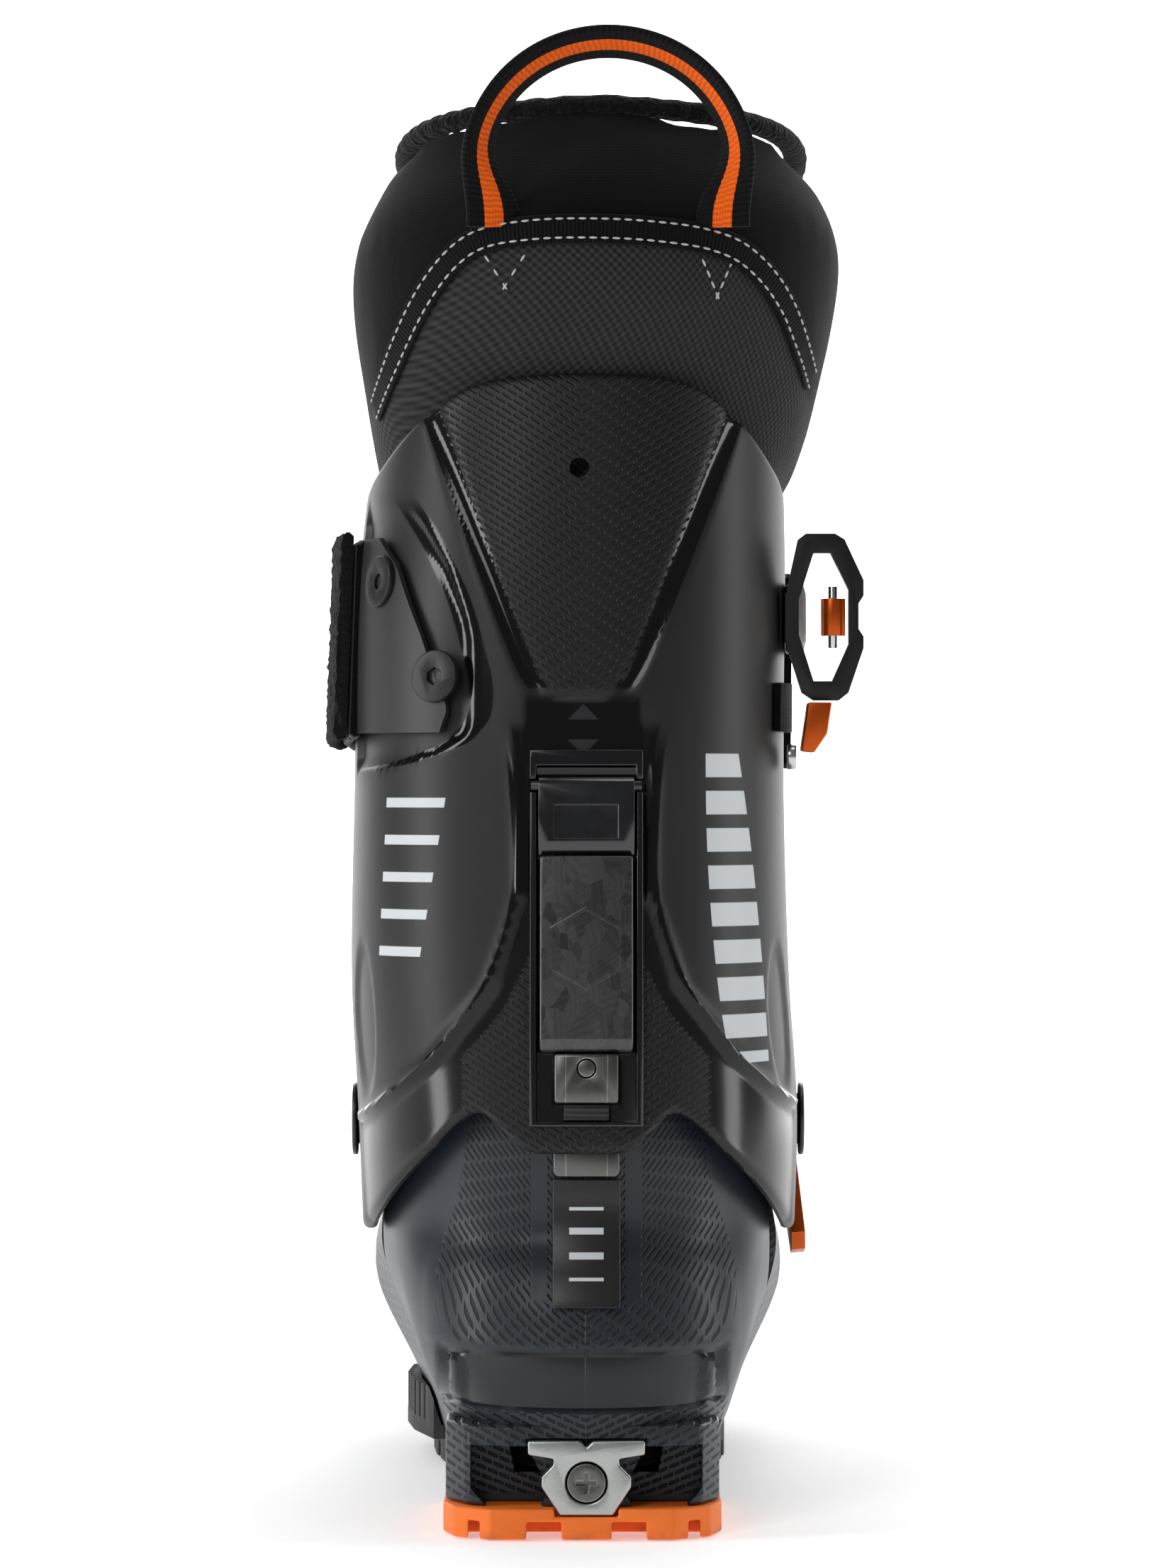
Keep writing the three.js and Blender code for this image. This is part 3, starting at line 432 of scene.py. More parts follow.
class Look:
    """A material under construction. Lengths inside it are millimetres."""

    def __init__(self, name):
        self.material = bpy.data.materials.new(name)
        self.material.use_nodes = True
        self.tree = self.material.node_tree
        self.shader = self.tree.nodes["Principled BSDF"]
        where = self.node("ShaderNodeTexCoord")
        grow = self.node("ShaderNodeVectorMath", operation="SCALE")
        self.tree.links.new(where.outputs["Object"], grow.inputs[0])
        grow.inputs["Scale"].default_value = 1000
        self.place = grow.outputs[0]
        split = self.node("ShaderNodeSeparateXYZ")
        self.tree.links.new(self.place, split.inputs[0])
        self.x, self.y, self.z = (Wire(self, split.outputs[k]) for k in range(3))

    def node(self, kind, **settings):
        made = self.tree.nodes.new(kind)
        for key, value in settings.items():
            setattr(made, key, value)
        return made

    def put(self, socket, value):
        if isinstance(value, Wire):
            self.tree.links.new(value.socket, socket)
        elif isinstance(value, bpy.types.NodeSocket):
            self.tree.links.new(value, socket)
        elif isinstance(value, (tuple, list)) or hasattr(value, "__len__"):
            socket.default_value = (*value, 1) if len(value) == 3 and len(socket.default_value) == 4 else value
        else:
            socket.default_value = value

    def math(self, how, *values):
        made = self.node("ShaderNodeMath", operation=how)
        for socket, value in zip(made.inputs, values):
            self.put(socket, value)
        return Wire(self, made.outputs[0])

    def strip(self, name="strip"):
        made = self.node("ShaderNodeUVMap", uv_map=name)
        split = self.node("ShaderNodeSeparateXYZ")
        self.tree.links.new(made.outputs[0], split.inputs[0])
        return Wire(self, split.outputs[0]), Wire(self, split.outputs[1])

    def noise(self, size, detail=3.0, rough=0.5, stretch=(1, 1, 1)):
        """Noise whose blobs measure about size millimetres."""
        scale = self.node("ShaderNodeMapping")
        self.tree.links.new(self.place, scale.inputs["Vector"])
        scale.inputs["Scale"].default_value = [s / size for s in stretch]
        made = self.node("ShaderNodeTexNoise")
        self.tree.links.new(scale.outputs[0], made.inputs["Vector"])
        made.inputs["Scale"].default_value = 1
        made.inputs["Detail"].default_value = detail
        made.inputs["Roughness"].default_value = rough
        return Wire(self, made.outputs[0])

    def cells(self, size, feature="F1", output=0, stretch=(1, 1, 1)):
        scale = self.node("ShaderNodeMapping")
        self.tree.links.new(self.place, scale.inputs["Vector"])
        scale.inputs["Scale"].default_value = [s / size for s in stretch]
        made = self.node("ShaderNodeTexVoronoi", feature=feature)
        self.tree.links.new(scale.outputs[0], made.inputs["Vector"])
        made.inputs["Scale"].default_value = 1
        return made.outputs[output]

    def blend(self, share, first, second):
        made = self.node("ShaderNodeMix", data_type="RGBA")
        self.put(made.inputs[0], share)
        self.put(made.inputs[6], first)
        self.put(made.inputs[7], second)
        return made.outputs[2]

    def bump(self, height, depth, strength=1.0, under=None):
        """A bump from a 0 to 1 height; depth is in millimetres."""
        made = self.node("ShaderNodeBump")
        made.inputs["Strength"].default_value = strength
        made.inputs["Distance"].default_value = depth / 1000
        self.put(made.inputs["Height"], height)
        if under:
            self.tree.links.new(under, made.inputs["Normal"])
        return made.outputs[0]

    def wear(self, radius=0.6):
        """How near a convex edge a place is, from 0 to 1, by comparing rounded and plain normals."""
        soft = self.node("ShaderNodeBevel", samples=4)
        soft.inputs["Radius"].default_value = radius / 1000
        plain = self.node("ShaderNodeNewGeometry")
        dot = self.node("ShaderNodeVectorMath", operation="DOT_PRODUCT")
        self.tree.links.new(soft.outputs[0], dot.inputs[0])
        self.tree.links.new(plain.outputs["Normal"], dot.inputs[1])
        return (1 - Wire(self, dot.outputs["Value"])).step(0.02, 0.25)

    def done(self, colour, roughness=0.5, normal=None, **fixed):
        self.put(self.shader.inputs["Base Color"], colour)
        self.put(self.shader.inputs["Roughness"], roughness)
        if normal:
            self.tree.links.new(normal, self.shader.inputs["Normal"])
        for key, value in fixed.items():
            self.shader.inputs[key.replace("_", " ").title().replace("Ior", "IOR")].default_value = value
        return self.material


def darker(colour, share):
    return tuple(channel * share for channel in colour)


def sizes():
    return bpy.context.scene.ski_boot_sizes


def colours():
    return bpy.context.scene.ski_boot_colours


LOOKS = {}


def look(kind):
    """A material by its maker's name, made once."""
    if kind.__name__ not in LOOKS:
        LOOKS[kind.__name__] = kind()
    return LOOKS[kind.__name__]


def dashes(m, slope, middle=0.0):
    """Rows of short moulded dashes that rise away from the middle line."""
    pitch = sizes().weave * 1000
    off = abs(m.x - middle)
    row = (m.z - off * slope) / pitch
    shift = (row.floor() * 0.5).fract()
    column = (off / (pitch * 1.55) + shift).fract()
    line = 1 - abs(row.fract() - 0.5).step(0.1, 0.24)
    dash = 1 - abs(column - 0.5).step(0.34, 0.43)
    return line * dash


# ---------------------------------------------------------------- materials

def shell_plastic():
    m = Look("shell_plastic")
    base = tuple(colours().shell)
    slope = m.z.curve(12, 136, [(12, 0.35), (44, 0.55), (70, 1.0), (136, 1.4)])
    weave = dashes(m, slope)
    facet = m.z.curve(12, 136, [(12, 10), (48, 33), (60, 38), (72, 36), (90, 31), (136, 30)])
    inside = 1 - (abs(m.x) - facet).step(-0.6, 0.6)
    inside = inside * m.z.step(47, 49) + m.z.step(9, 10) * (1 - m.z.step(30.8, 31.6))
    smooth_band = abs(m.x).step(9.3, 9.8) + (1 - abs(m.x).step(13.6, 14.2)) - 1
    inside = (inside * (1 - smooth_band * m.z.step(56, 60))).high(0).low(1)
    rear = 1 - m.y.step(48, 58)
    weave = weave * inside * rear
    side = dashes(m, 0.7) * m.y.step(60, 72) * m.z.step(30, 33)
    pattern = weave.high(side * 0.6)
    cloud = m.noise(28, 2)
    grain = m.noise(0.55, 2)
    colour = m.blend(cloud * 0.5, darker(base, 0.85), darker(base, 1.5))
    colour = m.blend(pattern * 0.85, colour, darker(base, 0.12))
    bend = m.bump(1 - pattern, 0.35, 1.0)
    bend = m.bump(grain, 0.03, 0.35, bend)
    seam = 1 - abs(m.x).step(0.12, 0.4)
    bend = m.bump(seam * (1 - m.y.step(-20, -10)), 0.25, 0.7, bend)
    band = (m.z.step(31, 32.4) * (1 - m.z.step(45.5, 47)) * (1 - abs(m.x + 1).step(35.5, 37))
            * (1 - m.y.step(14, 40)))
    colour = m.blend(band * 0.7, colour, darker(base, 0.35))
    rough = (0.36 + pattern * 0.2 + cloud * 0.06) * (1 - band) + band * 0.2
    return m.done(colour, rough, bend, specular_ior_level=0.38)


def cuff_marks(m):
    """Masks on the back of the cuff: the woven panel, its groove, the waist ridge and the printed marks."""
    back = 1 - m.y.step(8, 30)
    centre = m.z.curve(190, 295, [(190, -1.5), (240, -1.0), (295, -0.6)])
    off = abs(m.x - centre)
    panel_half = m.z.curve(205, 292, [(205, 5), (210, 8.5), (213.5, 11.4), (217, 13.4), (222, 15.6), (250, 26.5),
                                         (284, 39), (292, 42)])
    into_panel = panel_half - off
    top = m.z.step(211, 213)
    waist_half_width = m.z.curve(100, 215, [(100, 60), (107, 52), (119, 38), (138, 23.5), (161, 16.2), (182, 16.4),
                                            (200, 18.4), (215, 25)])
    past_waist = abs(m.x + 0.3) - waist_half_width
    return back, into_panel, top, past_waist


def cuff_plastic():
    m = Look("cuff_plastic")
    base = tuple(colours().cuff)
    back, into_panel, top, past_waist = cuff_marks(m)
    panel = into_panel.step(1.4, 2.4) * top * back
    # The groove's near-black colour, given through the gloss mask, is partly the glossy black finish and partly
    # painted shade in the groove.
    groove = (1 - abs(into_panel + 0.5).step(2.2, 2.9)) * top * back
    weave = dashes(m, 0.62, -1.0)
    below = (1 - m.z.step(200, 205)) * back
    hollow = (1 - past_waist.step(-0.8, 0.4)) * below
    ridge = (1 - abs(past_waist - 0.4).step(1.6, 2.4)) * below * (1 - m.z.step(190, 204))
    lip = hollow * (1 - (past_waist + 6.5).step(-0.8, 0.8)) * (1 - abs(m.x).step(29, 32)) * (1 - m.z.step(150, 160))
    woven = (panel + lip).low(1)
    recess = (1 - abs(m.x + 0.8).step(13.5, 15.5)) * m.z.step(192.5, 194.5) * (1 - m.z.step(208, 212)) * back
    cup_edge = m.z.curve(192, 263, [(192, -52), (196, -37), (201, -28), (208, -24.5), (224, -27), (243, -34),
                                    (263, -46)])
    cup = (1 - abs(m.x - cup_edge + 2.0).step(2.6, 3.6)) * m.z.step(191, 193) * (1 - m.z.step(255, 263)) * back
    cup = cup * (1 - panel)
    gloss = (groove + ridge + recess + hollow * (1 - lip) * 0.8 + cup).low(1)
    # Printed marks: a ladder of thin level rungs on each flank, and two small arrows above the lever.
    rung = (m.z / 9.4).fract()
    rungs = (1 - abs(rung - 0.5).step(0.30, 0.33))
    right_edge = m.z.curve(105, 205, [(105, 47), (150, 44), (205, 37)])
    right_start = m.z.curve(105, 205, [(105, 40), (160, 31), (205, 30)])
    right = (m.x - right_start).step(0, 0.15) * (1 - (m.x - right_edge).step(0, 0.15))
    right = right * past_waist.step(2.0, 2.3) * (m.z > 117.6) * (m.z < 197.4) * rungs
    left_start = m.z.curve(120, 200, [(120, -54), (200, -50)])
    left_end = m.z.curve(120, 200, [(120, -46), (200, -33)])
    left = (m.x - left_start).step(0, 0.15) * (1 - (m.x - left_end).step(0, 0.15))
    left = left * (m.z > 141) * (m.z < 188) * (1 - abs((m.z / 9.4).fract() - 0.5).step(0.12, 0.14))
    head_up = (1 - (abs(m.x + 0.8) + (m.z - 208)).step(0, 0.2)) * (m.z > 204.2)
    head_down = (1 - (abs(m.x + 0.8) - (m.z - 195.4)).step(0, 0.2)) * (m.z < 199.2)
    arrows = (head_up + head_down).low(1) * recess
    wear = m.noise(9, 4, 0.6)
    printed = ((right + left) * back).low(1) * wear.step(0.18, 0.24)
    cloud = m.noise(34, 2)
    grain = m.noise(0.6, 2)
    colour = m.blend(cloud * 0.4, darker(base, 0.85), darker(base, 1.4))
    colour = m.blend(woven * 0.75, colour, darker(base, 0.42))
    colour = m.blend(woven * weave * 0.85, colour, darker(base, 0.08))
    # Glossy black finish on the ridge, recess, hollow and cup; in the groove this near-black is also painted shade.
    colour = m.blend(gloss * 0.85, colour, tuple(colours().gloss))
    colour = m.blend(arrows * 0.7, colour, darker(base, 2.6))
    colour = m.blend(printed, colour, tuple(colours().print_grey))
    rough = (0.40 + cloud * 0.08 + woven * weave * 0.1) * (1 - gloss) + gloss * 0.12
    bend = m.bump(1 - woven * weave, 0.35, 1.0)
    bend = m.bump(grain * (1 - gloss), 0.03, 0.35, bend)
    bend = m.bump(printed, 0.03, 0.4, bend)
    return m.done(colour, rough, bend, specular_ior_level=0.36)


def gloss_black():
    m = Look("gloss_black")
    haze = m.noise(12, 3)
    fine = m.noise(1.6, 2)
    colour = m.blend(haze, tuple(colours().gloss), darker(tuple(colours().gloss), 2.4))
    return m.done(colour, 0.1 + haze * 0.09, m.bump(fine, 0.02, 0.25), coat_weight=0.5, coat_roughness=0.05)


def smoky_cap():
    m = Look("smoky_cap")
    haze = m.noise(7, 4, 0.6)
    base = tuple(colours().gloss)
    colour = m.blend(haze.step(0.35, 0.7), darker(base, 0.9), darker(base, 4.5))
    return m.done(colour, 0.16 + haze * 0.12, m.bump(m.noise(2.2, 2), 0.03, 0.4), coat_weight=0.8,
                  coat_roughness=0.06)


def forged_carbon():
    m = Look("forged_carbon")
    chips = m.cells(3.0, stretch=(1, 1, 0.6), output=1)
    split = m.node("ShaderNodeSeparateColor")
    m.tree.links.new(chips, split.inputs[0])
    tone = Wire(m, split.outputs[0])
    turn = Wire(m, split.outputs[1])
    fibre = ((m.x * (turn * 2 - 1) + m.z * (1 - turn)) * 5.2).sine() * 0.5 + 0.5
    hexagon = abs(m.x).high(abs(m.x) * 0.5 + abs(m.z - 147) * 0.866)
    ring = 1 - abs(hexagon - 8.6).step(0.2, 0.55)
    colour = m.blend((tone * 0.55 + fibre * 0.25 + ring * 0.35).low(1), (0.010, 0.010, 0.011), (0.05, 0.05, 0.052))
    rough = 0.24 + tone * 0.16 - ring * 0.08
    bend = m.bump(tone * 0.6 + ring, 0.12, 0.5)
    return m.done(colour, rough, bend, coat_weight=0.6, coat_roughness=0.12)


def matt_black():
    m = Look("matt_black")
    grain = m.noise(0.5, 2)
    cloud = m.noise(14, 3)
    colour = m.blend(cloud * 0.6 + m.wear() * 0.4, (0.010, 0.010, 0.011), (0.035, 0.035, 0.037))
    return m.done(colour, 0.42 + cloud * 0.12, m.bump(grain, 0.05, 0.5))


def inlay_black():
    m = Look("inlay_black")
    grain = m.noise(0.5, 2)
    dash = (1 - abs(m.x).step(4.2, 4.4)) * (1 - abs(((m.z - 73) / 6).fract() - 0.5).step(0.13, 0.15))
    dash = dash * (m.z > 64) * (m.z < 82)
    colour = m.blend(dash, (0.012, 0.012, 0.013), tuple(colours().print_grey))
    return m.done(colour, 0.3 + grain * 0.1, m.bump(grain + dash * 0.6, 0.04, 0.5))


def orange_rubber():
    m = Look("orange_rubber")
    base = tuple(colours().orange)
    speck = m.noise(0.8, 3)
    scuff = m.noise(6, 5, 0.65)
    dirt = (1 - m.z.step(0.2, 3.2)) * scuff.step(0.4, 0.75)
    colour = m.blend(speck * 0.35, base, darker(base, 0.78))
    colour = m.blend((dirt * 0.45).low(1), colour, (0.12, 0.075, 0.045))
    return m.done(colour, 0.55 + scuff * 0.2, m.bump(speck + scuff * 0.4, 0.08, 0.5))


def black_rubber():
    m = Look("black_rubber")
    speck = m.noise(0.8, 3)
    scuff = m.noise(7, 5, 0.65)
    colour = m.blend(scuff * 0.6, (0.012, 0.012, 0.013), (0.04, 0.038, 0.037))
    return m.done(colour, 0.62 + speck * 0.15, m.bump(speck, 0.1, 0.6))


def orange_alloy():
    m = Look("orange_alloy")
    base = tuple(colours().anodised)
    brushed = m.noise(1.2, 3, stretch=(4, 4, 0.3))
    worn = m.wear(0.5)
    colour = m.blend(brushed * 0.5, base, darker(base, 0.7))
    colour = m.blend(worn * 0.35, colour, (0.9, 0.55, 0.35))
    return m.done(colour, 0.24 + brushed * 0.16, m.bump(brushed, 0.02, 0.4), metallic=0.75)


def steel_look(name, base, rough, grain_size, grain_depth, stretch=(1, 1, 1)):
    m = Look(name)
    grain = m.noise(grain_size, 4, 0.6, stretch)
    cloud = m.noise(5, 3)
    worn = m.wear(0.5)
    colour = m.blend((cloud * 0.6 + grain * 0.3).low(1), darker(base, 0.72), base)
    colour = m.blend(worn * 0.6, colour, tuple(min(channel * 1.5, 0.92) for channel in base))
    return m.done(colour, (rough + cloud * 0.14 - worn * 0.12).high(0.08), m.bump(grain, grain_depth, 0.7),
                  metallic=1.0)


def cast_steel():
    return steel_look("cast_steel", tuple(colours().steel), 0.27, 0.7, 0.08)


def lock_steel():
    m = Look("lock_steel")
    brushed = m.noise(1.0, 4, 0.6, (3, 3, 0.4))
    line = 1 - abs(abs(m.x) - 5.2).step(0.08, 0.25)
    worn = m.wear(0.6)
    colour = m.blend(brushed * 0.7, (0.11, 0.11, 0.105), (0.2, 0.2, 0.19))
    colour = m.blend((worn * 0.8 + line * 0.15).low(1), colour, (0.78, 0.79, 0.78))
    return m.done(colour, 0.3 + brushed * 0.1, m.bump(brushed * 0.4 - line, 0.06, 0.6), metallic=1.0)


def dark_steel():
    return steel_look("dark_steel", (0.075, 0.077, 0.082), 0.3, 0.9, 0.04)


def polished_steel():
    return steel_look("polished_steel", (0.72, 0.73, 0.73), 0.16, 1.4, 0.02, (3, 3, 0.5))


def bolt_black():
    m = Look("bolt_black")
    grain = m.noise(0.7, 2)
    worn = m.wear(0.5)
    colour = m.blend(worn * 0.5, (0.007, 0.007, 0.008), (0.03, 0.03, 0.032))
    return m.done(colour, 0.34 + grain * 0.1, m.bump(grain, 0.03, 0.4), specular_ior_level=0.35)


def stretch_cloth():
    """Smooth knitted lycra with a faint rib."""
    m = Look("stretch_cloth")
    base = tuple(colours().cloth)
    rib = (m.z * 7.2).sine() * 0.5 + 0.5
    cross = ((m.x + m.y) * 9).sine() * 0.5 + 0.5
    fuzz = m.noise(0.7, 3)
    fold = m.noise(26, 2)
    # Fuzz gives random tone. Fold, the same noise as the fold bump below, lightens the bump's crowns and darkens its
    # hollows: painted shade of the folds.
    colour = m.blend(fuzz * 0.4 + fold * 0.4, darker(base, 0.55), darker(base, 1.25))
    bend = m.bump(rib * 0.5 + cross * 0.3 + fuzz * 0.4, 0.12, 0.5)
    bend = m.bump(fold, 1.2, 0.35, bend)
    return m.done(colour, 0.82, bend, specular_ior_level=0.12, sheen_weight=0.06, sheen_roughness=0.45)


def liner_cloth():
    """Coarse woven cloth below the tape, smooth lycra above it."""
    m = Look("liner_cloth")
    base = tuple(colours().cloth)
    warp = ((m.x + m.y * 0.9) * 2.7).sine()
    weft = (m.z * 2.7).sine()
    over = warp * weft
    knit = ((m.z * 8.2).sine() * 0.3 + ((m.x + m.y) * 9).sine() * 0.2) + 0.5
    arch = abs(m.x - 1.5).curve(0, 64, [(0, 328.3), (16, 327.8), (30, 325.5), (38, 320), (46, 309), (54, 293),
                                         (60, 279), (64, 268)])
    woven = 1 - (m.z - arch).step(-2.5, 2.5)
    fuzz = m.noise(0.7, 3)
    fold = m.noise(24, 2)
    weave = m.blend((over * 0.5 + 0.5) * 0.8 + fuzz * 0.2, (0.006, 0.006, 0.0065), (0.044, 0.044, 0.046))
    colour = m.blend(woven, m.blend(fuzz * 0.3, darker(base, 0.6), darker(base, 1.6)), weave)
    bend = m.bump((over * 0.5 + 0.5) * woven * 1.6 + knit * (1 - woven) * 0.3 + fuzz * 0.3, 0.22, 0.8)
    bend = m.bump(fold, 1.0, 0.3, bend)
    return m.done(colour, 0.85, bend, specular_ior_level=0.12, sheen_weight=0.05, sheen_roughness=0.5)


def terry_pile():
    m = Look("terry_pile")
    base = tuple(colours().cloth)
    loops = Wire(m, m.cells(1.5))
    fuzz = m.noise(0.5, 4)
    colour = m.blend(1 - loops, darker(base, 0.3), darker(base, 1.5))
    return m.done(colour, 0.95, m.bump(1 - loops + fuzz * 0.4, 0.7, 0.9), specular_ior_level=0.12,
                  sheen_weight=0.12, sheen_roughness=0.5)


def tape_cloth():
    """Ribbed binding tape; ribs run across it."""
    m = Look("tape_cloth")
    base = tuple(colours().cloth)
    u, v = m.strip()
    rib = (u * 6.2).sine() * 0.5 + 0.5
    edge = abs(v).step(2.9, 3.8)
    fuzz = m.noise(0.5, 2)
    colour = m.blend(rib * 0.6 + fuzz * 0.3, darker(base, 0.45), darker(base, 1.5))
    return m.done(colour, 0.78, m.bump(rib * (1 - edge * 0.5) + fuzz * 0.3, 0.2, 0.8), specular_ior_level=0.12,
                  sheen_weight=0.05)


def thread():
    m = Look("thread")
    base = tuple(colours().thread)
    ply = ((m.x + m.z * 1.6) * 9).sine() * 0.5 + 0.5
    colour = m.blend(ply * 0.5 + m.noise(3, 2) * 0.4, darker(base, 0.62), base)
    return m.done(colour, 0.7, m.bump(ply, 0.06, 0.6), specular_ior_level=0.12, sheen_weight=0.05)


def loop_webbing():
    """Ribbed webbing with a coloured stripe along its middle."""
    m = Look("loop_webbing")
    base = tuple(colours().cloth)
    u, v = m.strip()
    stripe = 1 - abs(v).step(2.3, 2.6)
    rib = (u * 4.4 + (v > 0) * 1.57).sine() * 0.5 + 0.5
    warp = (v * 9.0).sine() * 0.5 + 0.5
    fuzz = m.noise(0.5, 3)
    dark = m.blend(rib * 0.5 + fuzz * 0.3, darker(base, 0.6), darker(base, 2.4))
    stripe_colour = tuple(colours().stripe)
    bright = m.blend(rib * 0.55 + fuzz * 0.2, darker(stripe_colour, 0.7), darker(stripe_colour, 1.2))
    bend = m.bump(rib + warp * 0.3 + fuzz * 0.3, 0.35, 0.9)
    return m.done(m.blend(stripe, dark, bright), 0.8, bend, specular_ior_level=0.12, sheen_weight=0.05)


def strap_webbing():
    """Flat strap webbing with paler, slightly frayed edges."""
    m = Look("strap_webbing")
    base = tuple(colours().cloth)
    u, v = m.strip()
    rib = (u * 3.4).sine() * 0.5 + 0.5
    warp = (v * 5.2).sine() * 0.5 + 0.5
    fray = m.noise(1.1, 4, 0.7)
    edge = abs(v).step(24.4, 25.6) * fray.step(0.42, 0.62)
    colour = m.blend(rib * 0.4 + warp * 0.25, darker(base, 0.6), darker(base, 1.9))
    colour = m.blend(edge * 0.55, colour, (0.42, 0.41, 0.40))
    return m.done(colour, 0.82, m.bump(rib * 0.6 + warp * 0.5 + fray * 0.2, 0.25, 0.7), specular_ior_level=0.12,
                  sheen_weight=0.05)


def hook_pile():
    m = Look("hook_pile")
    base = tuple(colours().cloth)
    tuft = Wire(m, m.cells(1.3))
    fuzz = m.noise(0.45, 5, 0.7)
    colour = m.blend((1 - tuft) * 0.7 + fuzz * 0.3, darker(base, 0.25), darker(base, 1.5))
    return m.done(colour, 0.96, m.bump(1 - tuft + fuzz, 0.9, 1.0), specular_ior_level=0.12, sheen_weight=0.15,
                  sheen_roughness=0.45)


def backdrop_paper():
    m = Look("backdrop_paper")
    grain = m.noise(60, 3)
    colour = m.blend(grain, (0.86, 0.86, 0.86), (0.9, 0.9, 0.9))
    return m.done(colour, 0.9, m.bump(m.noise(2, 2), 0.05, 0.2), emission_color=(1, 1, 1, 1),
                  emission_strength=0.35)


# ---------------------------------------------------------------- pieces

class Make(bpy.types.Operator):
    """What the makers share: execute calls make, and an error in it stops the script."""
    bl_options = {"REGISTER", "UNDO"}

    def execute(self, context):
        self.make()
        return {"FINISHED"}


class SKIBOOT_OT_stage(Make):
    """Pale paper sweep, studio lights and the camera behind the boot"""
    bl_idname = "ski_boot.stage"
    bl_label = "Stage"

    def make(self):
        turn = np.linspace(0, math.pi / 2, 24)
        path = [(-5200, 0)] + [(4200 + 1200 * math.sin(t), 1200 - 1200 * math.cos(t)) for t in turn] + [(5400, 6500)]
        points = [(x, y, z - 0.4) for y, z in path for x in (-6000, 6000)]
        faces = [(2 * i, 2 * i + 1, 2 * i + 3, 2 * i + 2) for i in range(len(path) - 1)]
        mesh_from("paper_sweep", points, faces, look(backdrop_paper))
        world = bpy.data.worlds.new("studio")
        bpy.context.scene.world = world
        world.use_nodes = True
        fill = world.node_tree.nodes["Background"]
        fill.inputs["Color"].default_value = (1, 1, 1, 1)
        seen = world.node_tree.nodes.new("ShaderNodeLightPath")
        level = world.node_tree.nodes.new("ShaderNodeMapRange")
        level.inputs["To Min"].default_value = 0.16
        level.inputs["To Max"].default_value = 1.0
        world.node_tree.links.new(seen.outputs["Is Camera Ray"], level.inputs["Value"])
        world.node_tree.links.new(level.outputs[0], fill.inputs["Strength"])
        for name, place, aim, width, height, power in (
                ("key_light", (-0.75, -1.5, 1.25), (0, 0, 0.2), 0.6, 0.9, 8),
                ("side_light_left", (-1.1, -0.25, 0.4), (0, 0, 0.2), 0.28, 1.2, 8),
                ("side_light_right", (1.15, 0.1, 0.35), (0, 0, 0.2), 0.28, 1.2, 5),
                ("top_light", (0.2, 0.2, 1.7), (0, 0, 0.2), 0.9, 0.9, 7),
                ("backdrop_light", (0, 2.6, 3.4), (0, 5.4, 1.6), 5.0, 1.5, 420)):
            lamp = bpy.data.lights.new(name, "AREA")
            lamp.shape, lamp.size, lamp.size_y, lamp.energy = "RECTANGLE", width, height, power
            holder = bpy.data.objects.new(name, lamp)
            holder.location = place
            holder.rotation_euler = (Vector(aim) - Vector(place)).to_track_quat("-Z", "Y").to_euler()
            bpy.context.scene.collection.objects.link(holder)
        lens = bpy.data.cameras.new("camera")
        lens.sensor_fit, lens.sensor_height, lens.lens = "VERTICAL", 36, 138.5
        lens.clip_start, lens.clip_end = 0.05, 30
        camera = bpy.data.objects.new("camera", lens)
        camera.location = (0.0004, -1.54, 0.188)
        camera.rotation_euler = (math.pi / 2, 0, 0)
        bpy.context.scene.collection.objects.link(camera)
        bpy.context.scene.camera = camera
        bpy.context.scene.view_settings.view_transform = "Standard"


def shell_relief(ring):
    """Recesses moulded in the lower shell: the smooth band over the heel and the sink round the inlay."""
    x, y, z = ring[:, 0], ring[:, 1], ring[:, 2]
    rear = 1 - ease(y, 14, 40)
    band = ease(z, 31, 32.4) * (1 - ease(z, 45, 47.5)) * (1 - ease(np.abs(x + 1), 35.5, 37)) * rear
    bars = (1 - ease(np.abs(np.abs(x + 1) - 33), 1.2, 2.0)) * ease(z, 32, 33) * (1 - ease(z, 43, 46)) * rear
    flat = (1 - ease(np.abs(x), 12.5, 14.2)) * ease(z, 56, 60) * (1 - ease(z, 112, 118)) * rear
    lip = np.exp(-((z - 48.6) / 1.0) ** 2) * (1 - ease(np.abs(x + 1), 38, 42)) * rear
    return -2.1 * band + 1.6 * bars + 0.5 * lip - 0.35 * flat


